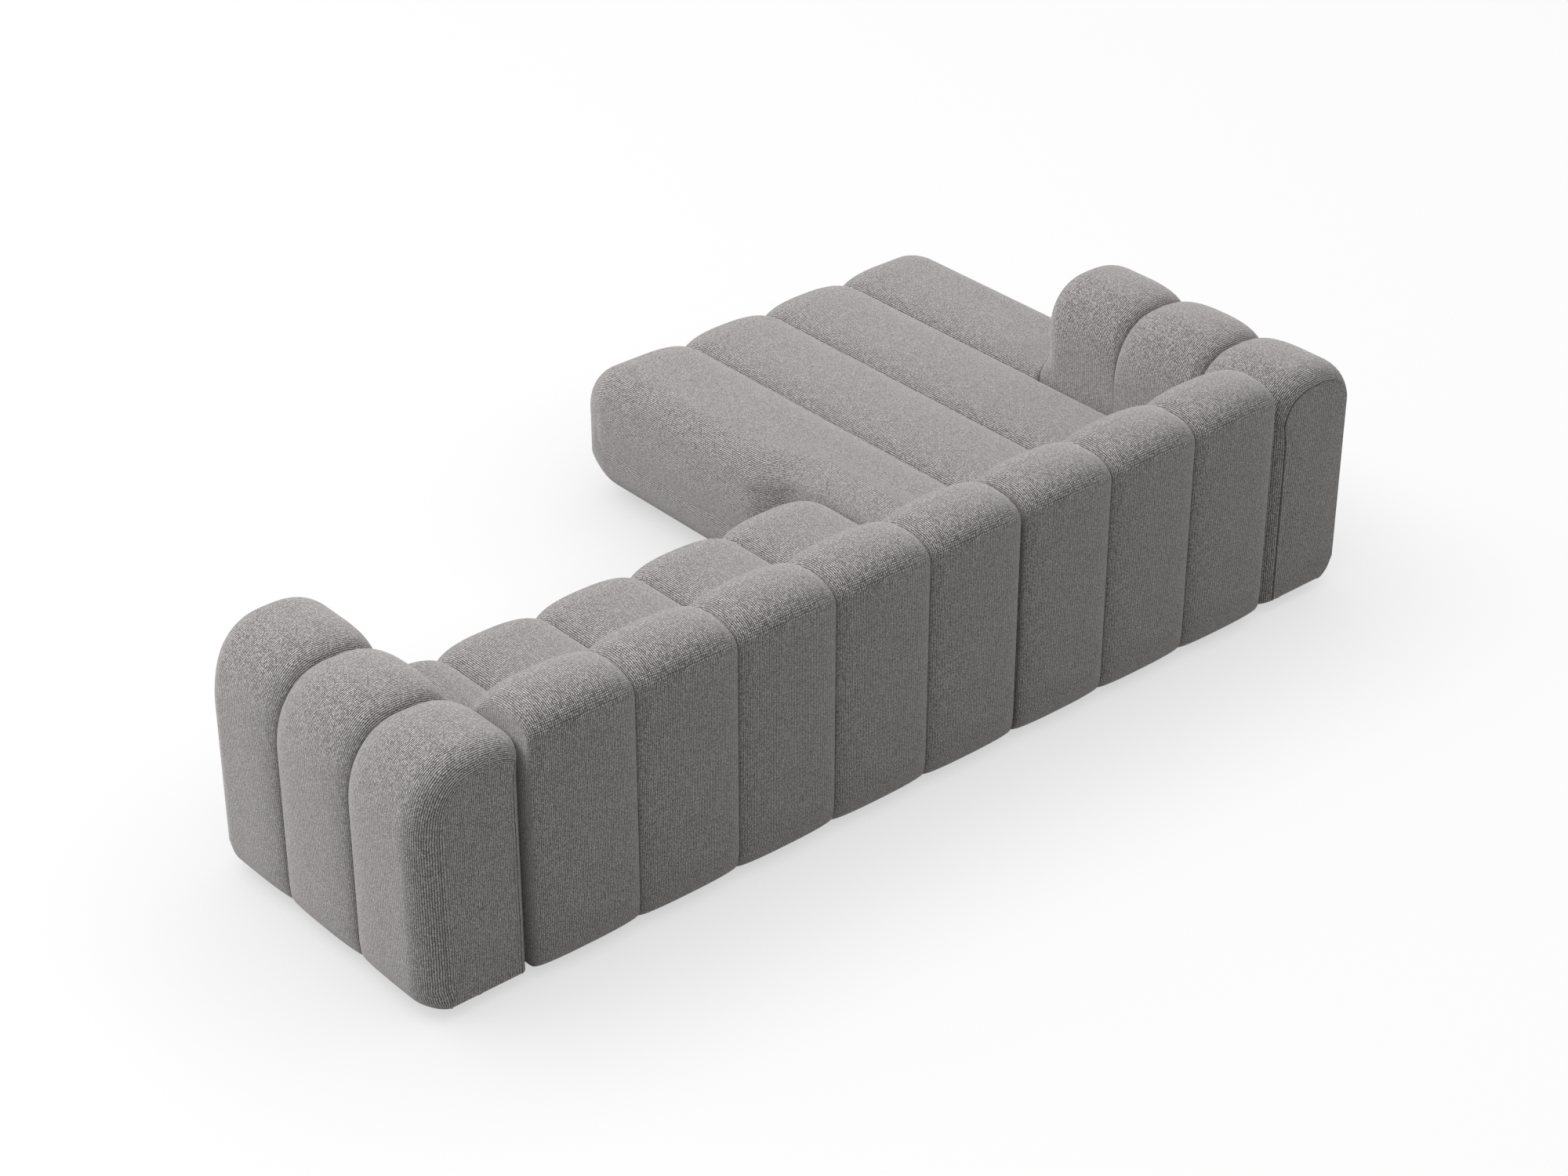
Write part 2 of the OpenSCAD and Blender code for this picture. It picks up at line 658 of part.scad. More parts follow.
module corner_block() {
  translate([0, 0, lip_t]) difference() {
    linear_extrude(block_h) polygon([[0, 0], [block_w, 0], [block_w, block_end],
      [block_end, block_w], [0, block_w]]);
    translate([foot_in, foot_in, -1]) cylinder(h = stud_l + 3, r = bolt_r + bolt_gap);
  }
}

// Places of the corner blocks as [u, v, direction along u, direction along v]
seat_corners = [[seat_f0 + rail_t, seat_in_v0, 1, 1], [seat_f1 - rail_t, seat_in_v0, -1, 1],
  [seat_f0 + rail_t, seat_in_v1, 1, -1], [seat_f1 - rail_t, seat_in_v1, -1, -1]];
chaise_corners = [[ch_f0 + rail_t, seat_in_v0, 1, 1], [ch_f1 - rail_t, seat_in_v0, -1, 1],
  [ch_f0 + rail_t, ch_in_v1, 1, -1], [ch_f2 - rail_t, ch_in_v1, -1, -1],
  [ch_f2 - rail_t, bay_v0 + rail_t, -1, 1]];

module at_corner(c) {
  translate([c[0], c[1], 0]) mirror([c[2] < 0 ? 1 : 0, 0, 0]) mirror([0, c[3] < 0 ? 1 : 0, 0])
    children();
}

// Blocks between the side panels at both ends of an arm
arm_foot_y = arm_end_foam + foot_r + 2;

module arm_blocks() {
  x0 = arm_x0 + board_t;
  x1 = arm_x1 - board_t;
  difference() {
    for (y = [arm_y0 + board_t, arm_y1 - board_t - arm_block_l])
      block([x0, y, lip_t], [x1, y + arm_block_l, lip_t + block_h]);
    for (y = [arm_foot_y, arm_l - arm_foot_y]) translate([(x0 + x1) / 2, y, lip_t - 1])
      cylinder(h = stud_l + 3, r = bolt_r + bolt_gap);
  }
}

module seat_corner_blocks() {
  color(beech) to_frame() {
    for (c = seat_corners) at_corner(c) corner_block();
    seat_arm() arm_blocks();
  }
}

module chaise_corner_blocks() {
  color(beech) to_frame() {
    for (c = chaise_corners) at_corner(c) corner_block();
    chaise_arm() arm_blocks();
  }
}

// Foot with its stud, turned about the z axis
module foot() {
  translate([0, 0, -foot_clear]) rotate_extrude() polygon([[0, 0], [foot_base_r - 2, 0],
    [foot_base_r, 2], [foot_r, foot_clear + lip_t - 3], [foot_r, foot_clear + lip_t],
    [bolt_r, foot_clear + lip_t], [bolt_r, foot_clear + lip_t + stud_l], [0, foot_clear + lip_t + stud_l]]);
}

module arm_feet() {
  for (y = [arm_foot_y, arm_l - arm_foot_y]) translate([(arm_x0 + arm_x1) / 2, y, 0]) foot();
}

module seat_feet() {
  color(black) to_frame() {
    for (c = seat_corners) at_corner(c) translate([foot_in, foot_in, 0]) foot();
    seat_arm() arm_feet();
  }
}

module chaise_feet() {
  color(black) to_frame() {
    for (c = chaise_corners) at_corner(c) translate([foot_in, foot_in, 0]) foot();
    chaise_arm() arm_feet();
  }
}

// Strap along v, flat on the rails
module strap_v(u, v0, v1) {
  block([u - strap_w / 2, v0, deck_h], [u + strap_w / 2, v1, deck_h + strap_t]);
}

// Strap along u that weaves over and under; path holds [u, level] with level -1, 0 or 1
module strap_u(v, path) {
  rise = strap_t + weave_gap;
  low = [for (p = path) [p[0], deck_h + p[1] * rise]];
  translate([0, v + strap_w / 2, 0]) rotate([90, 0, 0]) linear_extrude(strap_w)
    polygon(concat(low, [for (i = [len(low) - 1:-1:0]) low[i] + [0, strap_t]]));
}

strap_slope = 6;

function weave(centres, start) = [for (i = [0:len(centres) - 1])
  let (level = (i + start) % 2 == 0 ? 1 : -1, half = strap_w / 2 + strap_slope)
  each [[centres[i] - half, level], [centres[i] + half, level]]];

seat_centres = [for (k = [0:seat_n - 1]) (k + 0.5) * channel_w];
chaise_centres = [for (k = [0:chaise_back_n - 1]) chaise_u0 + (k + 0.5) * channel_w];
bay_centre = (ch_f1 + ch_f2) / 2;
seat_rows = 3;
chaise_rows = 6;

module seat_webbing() {
  color(web) to_frame() {
    for (u = seat_centres) strap_v(u, back_v1 + 1, seat_fv);
    for (j = [1:seat_rows])
      strap_u(mid_v1 + (seat_in_v1 - mid_v1) * j / (seat_rows + 1),
        concat([[seat_f0, 0], [seat_f0 + rail_t, 0]], weave(seat_centres, j),
          [[seat_f1 - rail_t, 0], [seat_f1, 0]]));
  }
}

module chaise_webbing() {
  color(web) to_frame() {
    for (u = chaise_centres) strap_v(u, back_v1 + 1, ch_fv);
    strap_v(bay_centre, bay_v0, ch_fv);
    for (j = [1:chaise_rows])
      let (v = mid_v1 + (ch_in_v1 - mid_v1) * j / (chaise_rows + 1),
        main = concat([[ch_f0, 0], [ch_f0 + rail_t, 0]], weave(chaise_centres, j),
          [[ch_f1 - rail_t, 0], [ch_f1, 0]]))
      strap_u(v, v - strap_w / 2 < bay_v0 + rail_t ? main
        : concat(main, weave([bay_centre], j + 1), [[ch_f2 - rail_t, 0], [ch_f2, 0]]));
  }
}

// Back frames: uprights between two hardboard panels, under a top board
module back_uprights(f0, f1, n) {
  top = back_top - board_t;
  for (k = [0:n]) let (u = f0 + k * (f1 - f0 - board_t) / n)
    difference() {
      block([u, frame_v0 + panel_t, deck_h], [u + board_t, back_v1 - panel_t, top]);
      for (s = [-1, 1])
        oval_v(u, board_t, back_t / 2, (deck_h + top) / 2 + s * 0.8 * back_oval_l, back_oval_l);
    }
}

module back_panels(f0, f1) {
  for (v = [frame_v0, back_v1 - panel_t])
    block([f0, v, deck_h], [f1, v + panel_t, back_top - board_t]);
}

module back_top_board(f0, f1) {
  block([f0, frame_v0, back_top - board_t], [f1, back_v1, back_top]);
}

module seat_back_uprights() {
  color(ply) to_frame() back_uprights(seat_f0, seat_f1, seat_n);
}

module seat_back_panels() {
  color(hardboard) to_frame() back_panels(seat_f0, seat_f1);
}

module seat_back_top_board() {
  color(ply) to_frame() back_top_board(seat_f0, seat_f1);
}

module chaise_back_uprights() {
  color(ply) to_frame() back_uprights(ch_f0, ch_f1, chaise_back_n);
}

module chaise_back_panels() {
  color(hardboard) to_frame() back_panels(ch_f0, ch_f1);
}

module chaise_back_top_board() {
  color(ply) to_frame() back_top_board(ch_f0, ch_f1);
}

// Chaise base. Cross rails run along u, with the arm's bolts between them; the bay beside
// the arm has its own short ones
cross_n = 5;
function cross_v(j) = mid_v1 + (ch_in_v1 - mid_v1) * j / (cross_n + 1) - rail_t / 2;
bolt_v = [130, (mid_v1 + cross_v(1)) / 2, (cross_v(1) + rail_t + cross_v(2)) / 2];
main_u0 = ch_f0 + rail_t;
main_u1 = ch_f1 - rail_t;
bay_u1 = ch_f2 - rail_t;
bay_v = [bay_v0, cross_v(4), cross_v(5)];

module chaise_main_tongues(g) {
  for (j = [1:cross_n]) tongue_u(cross_v(j), main_u0, main_u1, g);
  tongue_u(mid_v0, main_u0, main_u1, g);
}

module chaise_bay_tongues(g) {
  for (v = bay_v) tongue_u(v, ch_f1, bay_u1, g);
}

module chaise_front_rail() {
  color(ply) to_frame() difference() {
    block([ch_f0, ch_in_v1, lip_t], [ch_f2, ch_fv, deck_h]);
    for (u = [ch_f0, main_u1, bay_u1]) tongue_v(u, seat_in_v0, ch_in_v1, fit_gap);
  }
}

module chaise_rear_rail() {
  color(ply) to_frame() difference() {
    block([ch_f0, frame_v0, lip_t], [ch_f1, seat_in_v0, deck_h]);
    for (u = [ch_f0, main_u1]) tongue_v(u, seat_in_v0, ch_in_v1, fit_gap);
  }
}

module chaise_mid_rail() {
  color(ply) to_frame() union() {
    block([main_u0, mid_v0, lip_t], [main_u1, mid_v1, deck_h]);
    tongue_u(mid_v0, main_u0, main_u1);
  }
}

module chaise_inner_side_rail() {
  color(ply) to_frame() difference() {
    union() {
      block([ch_f0, seat_in_v0, lip_t], [main_u0, ch_in_v1, deck_h]);
      tongue_v(ch_f0, seat_in_v0, ch_in_v1);
    }
    chaise_main_tongues(fit_gap);
    chaise_plate_bolts(bolt_gap);
  }
}

module chaise_arm_side_rail() {
  color(ply) to_frame() difference() {
    union() {
      block([main_u1, seat_in_v0, lip_t], [ch_f1, ch_in_v1, deck_h]);
      tongue_v(main_u1, seat_in_v0, ch_in_v1);
    }
    chaise_main_tongues(fit_gap);
    chaise_bay_tongues(fit_gap);
    chaise_arm_bores(bolt_r + bolt_gap);
  }
}

module chaise_outer_side_rail() {
  color(ply) to_frame() difference() {
    union() {
      block([bay_u1, bay_v0, lip_t], [ch_f2, ch_in_v1, deck_h]);
      tongue_v(bay_u1, bay_v0 + tenon_l, ch_in_v1);
    }
    chaise_bay_tongues(fit_gap);
  }
}

module chaise_cross_rails() {
  color(ply) to_frame() {
    for (j = [1:cross_n]) let (v = cross_v(j)) {
      block([main_u0, v, lip_t], [main_u1, v + rail_t, cross_top]);
      tongue_u(v, main_u0, main_u1);
    }
    for (v = bay_v) {
      block([ch_f1, v, lip_t], [bay_u1, v + rail_t, v == bay_v0 ? deck_h : cross_top]);
      tongue_u(v, ch_f1, bay_u1);
    }
  }
}

// Arm frames
module arm_side_panels() {
  for (x = [arm_x0, arm_x1 - board_t])
    block([x, arm_y0, lip_t], [x + board_t, arm_y1, arm_panel_h]);
}

rib_n = 3;

module arm_ribs() {
  x0 = arm_x0 + board_t;
  x1 = arm_x1 - board_t;
  for (k = [0:rib_n]) translate([0, arm_y0 + board_t + k * (arm_y1 - arm_y0 - board_t) / rib_n, 0])
    rotate([90, 0, 0]) linear_extrude(board_t) difference() {
      polygon([[x0, lip_t], [x0, shoulder_z(board_t)], [arm_x0 + arm_shoulder, arm_rib_h],
        [arm_x1 - arm_shoulder, arm_rib_h], [x1, shoulder_z(board_t)], [x1, lip_t]]);
      translate([(x0 + x1) / 2, (arm_panel_h + deck_h) / 2]) rotate(90) oval(rib_oval_l);
    }
}

module seat_arm_side_panels() {
  color(ply) to_frame() difference() {
    seat_arm() arm_side_panels();
    seat_arm_bores(bolt_r + bolt_gap);
  }
}

module seat_arm_ribs() {
  color(ply) to_frame() seat_arm() arm_ribs();
}

module chaise_arm_side_panels() {
  color(ply) to_frame() difference() {
    chaise_arm() arm_side_panels();
    chaise_arm_bores(bolt_r + bolt_gap);
  }
}

module chaise_arm_ribs() {
  color(ply) to_frame() chaise_arm() arm_ribs();
}

// Connectors: a plate under each module; the chaise plate's tongue drops into
// the slot of the seat plate, and lifts out when the chaise is lifted
plate_v = [300, 520];
hook_u = chaise_u0 + 6;
upper_z = -fit_gap;
lower_z = upper_z - plate_t - fit_gap;
plate_bolt_z = lip_t + 0.62 * plate_h;
plate_bolt_v = 18;
plate_bolt_l = rail_t - 2;
tongue_cut = 5;

module seat_connector_plates() {
  u0 = seat_f1 - rail_t;
  color(steel) to_frame() difference() {
    for (v = plate_v) translate([0, v + plate_w / 2, 0]) rotate([90, 0, 0]) linear_extrude(plate_w)
      polygon([[u0 - plate_t, lower_z - plate_t], [ch_f0, lower_z - plate_t], [ch_f0, lower_z],
        [u0, lower_z], [u0, lip_t + plate_h], [u0 - plate_t, lip_t + plate_h]]);
    for (v = plate_v)
      block([hook_u - tongue_gap, v - tongue_w / 2 - tongue_gap, lower_z - plate_t - 1],
        [hook_u + plate_t + tongue_gap, v + tongue_w / 2 + tongue_gap, lower_z + 1]);
    seat_plate_bolts(bolt_gap);
  }
}

module chaise_connector_plates() {
  u0 = main_u0;
  low = upper_z - plate_t - tongue_l;
  half = tongue_w / 2;
  color(steel) to_frame() difference() {
    for (v = plate_v) {
      translate([0, v + plate_w / 2, 0]) rotate([90, 0, 0]) linear_extrude(plate_w)
        polygon([[hook_u, upper_z - plate_t], [u0 + plate_t, upper_z - plate_t],
          [u0 + plate_t, lip_t + plate_h], [u0, lip_t + plate_h], [u0, upper_z], [hook_u, upper_z]]);
      translate([hook_u, v, 0]) rotate([90, 0, 90]) linear_extrude(plate_t)
        polygon([[-half, upper_z - 1], [-half, low + tongue_cut], [-half + tongue_cut, low],
          [half - tongue_cut, low], [half, low + tongue_cut], [half, upper_z - 1]]);
    }
    chaise_plate_bolts(bolt_gap);
  }
}

// Bolts through the plates; the gap makes them into cutters for their bores
module seat_plate_bolts(g) {
  for (v = plate_v, s = [-1, 1]) translate([seat_f1 - rail_t - plate_t, v + s * plate_bolt_v, plate_bolt_z])
    rotate([0, 90, 0]) if (g > 0) translate([0, 0, -1]) cylinder(h = plate_bolt_l + 2, r = bolt_r + g);
    else bolt(plate_bolt_l);
}

module chaise_plate_bolts(g) {
  for (v = plate_v, s = [-1, 1]) translate([main_u0 + plate_t, v + s * plate_bolt_v, plate_bolt_z])
    rotate([0, -90, 0]) if (g > 0) translate([0, 0, -1]) cylinder(h = plate_bolt_l + 2, r = bolt_r + g);
    else bolt(plate_bolt_l);
}

module seat_bolts() {
  color(steel) to_frame() {
    seat_plate_bolts(0);
    for (v = bolt_v) translate([seat_f0 + rail_t, v, bolt_z]) rotate([0, -90, 0]) bolt(arm_bolt_l);
  }
}

module chaise_bolts() {
  color(steel) to_frame() {
    chaise_plate_bolts(0);
    for (v = bolt_v) translate([main_u1, v, bolt_z]) rotate([0, 90, 0]) bolt(arm_bolt_l);
  }
}

// Dust covers under the rails, cut out round the feet and the connector plates
dust_in = lip_w + 2;
dust_z = lip_t - fit_gap - dust_t;

module arm_dust() {
  difference() {
    block([arm_x0 + dust_in, arm_y0 + 2, dust_z], [arm_x1 - dust_in, arm_y1 - 2, dust_z + dust_t]);
    for (y = [arm_foot_y, arm_l - arm_foot_y]) translate([(arm_x0 + arm_x1) / 2, y, dust_z - 1])
      cylinder(h = dust_t + 2, r = foot_r + 2);
  }
}

module plate_holes(u0, u1) {
  for (v = plate_v)
    block([u0 - 2, v - plate_w / 2 - 2, dust_z - 1], [u1 + 2, v + plate_w / 2 + 2, dust_z + 2]);
}

module seat_dust_cover() {
  color(lining) to_frame() {
    difference() {
      block([seat_f0 + dust_in, frame_v0 + dust_in, dust_z],
        [seat_f1 - dust_in, seat_fv - dust_in, dust_z + dust_t]);
      for (c = seat_corners) at_corner(c) translate([foot_in, foot_in, dust_z - 1])
        cylinder(h = dust_t + 2, r = foot_r + 2);
      plate_holes(seat_f1 - rail_t - plate_t, seat_f1 - rail_t);
    }
    seat_arm() arm_dust();
  }
}

module chaise_dust_cover() {
  color(lining) to_frame() {
    difference() {
      union() {
        block([ch_f0 + dust_in, frame_v0 + dust_in, dust_z],
          [ch_f1 - dust_in, ch_fv - dust_in, dust_z + dust_t]);
        block([ch_f1 - dust_in - 1, bay_v0 + dust_in, dust_z],
          [ch_f2 - dust_in, ch_fv - dust_in, dust_z + dust_t]);
      }
      for (c = chaise_corners) at_corner(c) translate([foot_in, foot_in, dust_z - 1])
        cylinder(h = dust_t + 2, r = foot_r + 2);
      plate_holes(main_u0, main_u0 + plate_t);
    }
    chaise_arm() arm_dust();
  }
}

back_channel(0);  // back_channel_1
back_channel(1);  // back_channel_2
back_channel(2);  // back_channel_3
back_channel(3);  // back_channel_4
back_channel(4);  // back_channel_5
back_channel(5);  // back_channel_6
back_channel(6);  // back_channel_7
back_channel(7);  // back_channel_8
seat_channel(0);  // seat_channel_1
seat_channel(1);  // seat_channel_2
seat_channel(2);  // seat_channel_3
seat_channel(3);  // seat_channel_4
seat_channel(4);  // seat_channel_5
chaise_channel(0);  // chaise_channel_1
chaise_channel(1);  // chaise_channel_2
chaise_channel(2);  // chaise_channel_3
chaise_channel(3);  // chaise_channel_4
seat_arm_channel(0);  // seat_arm_channel_1
seat_arm_channel(1);  // seat_arm_channel_2
seat_arm_channel(2);  // seat_arm_channel_3
chaise_arm_channel(0);  // chaise_arm_channel_1
chaise_arm_channel(1);  // chaise_arm_channel_2
chaise_arm_channel(2);  // chaise_arm_channel_3
seat_front_rail();
seat_mid_rail();
seat_rear_rail();
seat_arm_end_rail();
seat_split_end_rail();
seat_cross_rails();
seat_corner_blocks();
seat_webbing();
seat_dust_cover();
seat_feet();
seat_back_uprights();
seat_back_top_board();
seat_back_panels();
seat_connector_plates();
seat_bolts();
seat_arm_side_panels();
seat_arm_ribs();
chaise_front_rail();
chaise_mid_rail();
chaise_rear_rail();
chaise_inner_side_rail();
chaise_arm_side_rail();
chaise_outer_side_rail();
chaise_cross_rails();
chaise_corner_blocks();
chaise_webbing();
chaise_dust_cover();
chaise_feet();
chaise_back_uprights();
chaise_back_top_board();
chaise_back_panels();
chaise_connector_plates();
chaise_bolts();
chaise_arm_side_panels();
chaise_arm_ribs();
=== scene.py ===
import bpy
import bmesh
import math
from functools import partial
from math import sin, cos, radians
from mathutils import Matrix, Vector


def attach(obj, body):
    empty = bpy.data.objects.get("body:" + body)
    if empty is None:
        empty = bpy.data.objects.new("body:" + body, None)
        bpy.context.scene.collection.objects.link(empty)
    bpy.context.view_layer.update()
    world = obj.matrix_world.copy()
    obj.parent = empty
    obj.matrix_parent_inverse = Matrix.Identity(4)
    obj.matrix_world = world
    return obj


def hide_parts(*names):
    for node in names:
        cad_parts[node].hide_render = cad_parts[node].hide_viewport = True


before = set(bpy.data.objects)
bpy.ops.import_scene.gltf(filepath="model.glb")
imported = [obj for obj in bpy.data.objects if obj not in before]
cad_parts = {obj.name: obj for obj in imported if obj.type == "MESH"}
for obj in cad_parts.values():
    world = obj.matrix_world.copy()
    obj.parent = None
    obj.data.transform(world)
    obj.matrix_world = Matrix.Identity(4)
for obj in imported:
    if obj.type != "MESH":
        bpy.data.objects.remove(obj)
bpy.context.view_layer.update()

# Sizes in mm, as in the part's source. Plan coordinates: u from the seat arm's end of the back,
# v from the back to the front, z up from the upholstery's bottom edge.
channel_w, module_gap, seam_gap, fit_gap = 290, 12, 0.4, 0.3
back_t, back_h, back_peak, back_rear_h, back_slope_h, back_toe_r = 246, 638, 95, 42, 207, 30
back_crown, back_rear_crown, back_front_crown = 45, 25, 16
back_foam, back_top_foam = 48, 110
seat_h, seat_crown, seat_front_crown = 328, 49, 29
seat_depth, chaise_depth, nose_r, toe_r, front_foam = 784, 1659, 116, 80, 45
side_swell, outer_swell, side_r, side_under, side_toe_h = 42, 26, 95, 100, 150
inner_side_foam, outer_side_foam = 38, 80
arm_w, arm_h, chaise_arm_h, arm_round_h, lobe_l = 268, 581, 595, 165, 277
arm_crown, arm_side_crown, chaise_arm_crown, arm_toe, arm_end_r = 55, 22, 44, 32, 72
arm_gap, arm_inner_foam, arm_outer_foam, arm_end_foam = 4, 14, 36, 32
arm_panel_h, arm_rib_h, arm_shoulder = 430, 516, 46
deck_h, side_pad, lip_t, lip_w = 176, 8, 10, 16
strap_t, weave_gap, foot_clear = 2, 0.3, 25
crown_low, crown_low_h, front_ramp, side_ramp, square_ramp = 0.3, 90, 80, 160, 80
end_share, arm_end_toe = 0.58, 14
back_rear_e, back_front_e, arm_full_e, arm_slack_e, swell_e, nose_e = 2.8, 1.8, 3.2, 2.3, 2.6, 0.9

# Forms that only the scene has: how far flat ends dome outwards, and the sewn cords
inner_wall_dome, outer_wall_dome, wall_dome_h, arm_end_dome = 12, 5, 150, 5.0
cord_r, cord_angle, cord_low = 1.6, 78, 1.5

# Fineness: longest step of each path, reach of its normals, rows and sides
back_step, seat_step, arm_step, reach, arm_reach = 14, 22, 16, 20, 16
station_n, wall_n, cord_sides = 18, 6, 10

# Places that follow from the sizes
seat_u1 = 5 * channel_w
chaise_u0 = seat_u1 + module_gap
chaise_back_u1 = chaise_u0 + 3 * channel_w
chaise_u1 = chaise_u0 + 4 * channel_w
seat_v0 = back_t + seam_gap
arm_l = 3 * lobe_l
last_v0 = arm_l + arm_gap
open_v0 = seat_depth + seat_front_crown
seat_f0, seat_f1 = side_pad, seat_u1 - side_pad
ch_f0, ch_f1 = chaise_u0 + inner_side_foam, chaise_back_u1 - side_pad
ch_f2 = chaise_u1 - outer_side_foam
frame_v0, back_v1 = back_foam, back_t - back_foam
seat_fv, ch_fv = seat_depth - front_foam, chaise_depth - front_foam
bay_v0 = last_v0 + side_pad
deck_top = deck_h + 2 * (strap_t + weave_gap)
back_top = back_h - back_top_foam
back_mid, arm_mid = 0.6 * back_h, 0.62 * arm_h
arm_ramp = arm_h - seat_h - seat_crown
u_low = -arm_gap - arm_w - arm_side_crown
u_high = max(chaise_u1 + outer_swell, chaise_back_u1 + arm_gap + arm_w + chaise_arm_crown)
v_low = -back_rear_crown
v_high = chaise_depth + seat_front_crown
centre = ((u_low + u_high) / 2, (v_low + v_high) / 2)


def to_frame(p):
    """Plan coordinates in mm to the frame's metres."""
    return ((centre[0] - p[0]) / 1000, (centre[1] - p[1]) / 1000, (p[2] + foot_clear) / 1000)


# Curves

def smooth(x):
    t = min(1, max(0, x))
    return t * t * (3 - 2 * t)


def swell(t):
    """Share of the crown across a channel: 0 at its seams (t is -1 or 1), 1 in the middle."""
    return max(0, 1 - abs(t) ** swell_e) ** (1 / swell_e)


def low_share(z):
    """Share of the crown that is left towards the bottom edge."""
    return min(1, crown_low + z / crown_low_h)


def signed(x, p):
    return math.copysign(abs(x) ** p, x)


def bend(c, r, e, a0, a1, n):
    """Quarter of a superellipse about c with the half axes r, from the angle a0 to a1."""
    out = []
    for i in range(n + 1):
        a = radians(a0 + (a1 - a0) * i / n)
        out.append((c[0] + r[0] * signed(cos(a), 2 / e), c[1] + r[1] * signed(sin(a), 2 / e)))
    return out


def crest(top, left, right, e, n):
    """Top of a profile: up from its left side over the peak and down to its right side."""
    return (bend((top[0], top[1] - left[1]), left, e[0], 180, 90, n)
            + bend((top[0], top[1] - right[1]), right, e[1], 90, 0, n)[1:])


def resample(path, step):
    """The path with more points on its long stretches; its own points are kept."""
    out = [path[0]]
    for a, b in zip(path, path[1:]):
        n = max(1, math.ceil(math.dist(a, b) / step))
        out += [(a[0] + (b[0] - a[0]) * i / n, a[1] + (b[1] - a[1]) * i / n) for i in range(1, n + 1)]
    return out


def lengths(path):
    """Distance along the path at each of its points."""
    out = [0.0]
    for a, b in zip(path, path[1:]):
        out.append(out[-1] + math.dist(a, b))
    return out


def normals(path, span):
    """Left-hand normals of a path, each from the points about `span` before and after."""
    s = lengths(path)
    out = []
    for i in range(len(path)):
        a = b = i
        while a > 0 and s[i] - s[a] < span:
            a -= 1
        while b < len(path) - 1 and s[b] - s[i] < span:
            b += 1
        d = (path[b][0] - path[a][0], path[b][1] - path[a][1])
        size = math.hypot(*d)
        out.append((-d[1] / size, d[0] / size))
    return out


def across_of(rings, index):
    """Distance along the rings at one of their points, in metres."""
    out = [0.0]
    for a, b in zip(rings, rings[1:]):
        out.append(out[-1] + math.dist(a[index], b[index]) / 1000)
    return out


def along_of(path):
    return [s / 1000 for s in lengths(path)]


def highest(path):
    return max(range(len(path)), key=lambda i: path[i][1])


stations = [sin(math.pi * i / (2 * station_n)) for i in range(-station_n, station_n + 1)]

back_path = resample(
    [(back_toe_r, 0)]
    + [(back_toe_r * (1 - sin(radians(a))), back_toe_r * (1 - cos(radians(a)))) for a in range(15, 91, 15)]
    + [(0, back_mid)]
    + crest((back_peak, back_h), (back_peak, back_rear_h), (back_t - back_peak, back_slope_h),
            (back_rear_e, back_front_e), 20)
    + [(back_t, seat_h + seat_crown), (back_t, deck_top + fit_gap)], back_step)


def back_amp(p):
    """Height of the back's crown at a point of its profile."""
    rear = p[0] < back_peak
    low = back_h - back_rear_h if rear else back_mid
    top = max(0, min(1, (p[1] - low) / (back_h - low)))
    side = back_rear_crown if rear else back_front_crown
    share = low_share(p[1]) if rear else smooth((p[1] - seat_h - seat_crown) / front_ramp)
    return share * (side * (1 - top * top) + back_crown * top * top)


def seat_path(tops, v1):
    """Profile of a seat: over the top and the nose, round the toe and back underneath."""
    path = [(v, seat_h) for v in tops]
    for i in range(25):
        a = radians(90 - 3.75 * i)
        path.append((v1 - nose_r + nose_r * max(0, cos(a)) ** nose_e,
                     seat_h - nose_r + nose_r * max(0, sin(a)) ** nose_e))
    for i in range(13):
        a = radians(-7.5 * i)
        path.append((v1 - toe_r + toe_r * cos(a), toe_r + toe_r * sin(a)))
    path.append((v1 - nose_r, 0))
    path += [(v, 0) for v in reversed(tops)]
    return resample(path, seat_step)


def seat_amp(p):
    """Height of a seat's crown at a point of its profile."""
    front = smooth((seat_h - p[1]) / nose_r)
    return low_share(p[1]) * (seat_crown * (1 - front) + seat_front_crown * front)


def arm_profile(chaise):
    """Arch of an arm, from its inner side over the top to its outer side."""
    h = chaise_arm_h if chaise else arm_h
    half = (arm_w / 2, arm_round_h)
    return resample(
        [(0, 0), (0, arm_toe), (0, arm_mid)]
        + crest((arm_w / 2, h), half, half,
                (arm_slack_e, arm_full_e) if chaise else (arm_full_e, arm_slack_e), 22)
        + [(arm_w, arm_mid)]
        + [(arm_w - arm_toe + arm_toe * cos(radians(a)), arm_toe - arm_toe * sin(radians(a)))
           for a in range(0, 91, 10)], arm_step)


def arm_swell(p, h, fuller, flat):
    """Height of a lobe's crown at a point of its profile; flat is its share on the sides."""
    start = 1.1 * arm_mid
    if fuller:
        top = smooth((p[1] - seat_h - seat_crown) / arm_ramp)
    else:
        top = max(0, min(1, (p[1] - start) / (h - start))) ** (2 if p[0] < arm_w / 2 else 3)
    return low_share(p[1]) * (flat * (1 - top) + arm_crown * top)


def arm_u(x, chaise):
    """Plan place of the distance x from an arm's inner side."""
    return chaise_back_u1 + arm_gap + x if chaise else -arm_gap - x


arm_paths = {chaise: arm_profile(chaise) for chaise in (False, True)}
arm_turns = {chaise: normals(arm_paths[chaise], arm_reach) for chaise in (False, True)}


# Meshes

def new_object(name, mesh):
    obj = bpy.data.objects.new(name, mesh)
    bpy.context.scene.collection.objects.link(obj)
    return obj


def finished(bm, name):
    """The object that bm makes, with its normals outwards."""
    bmesh.ops.recalc_face_normals(bm, faces=bm.faces)
    mesh = bpy.data.meshes.new(name)
    bm.to_mesh(mesh)
    bm.free()
    return new_object(name, mesh)


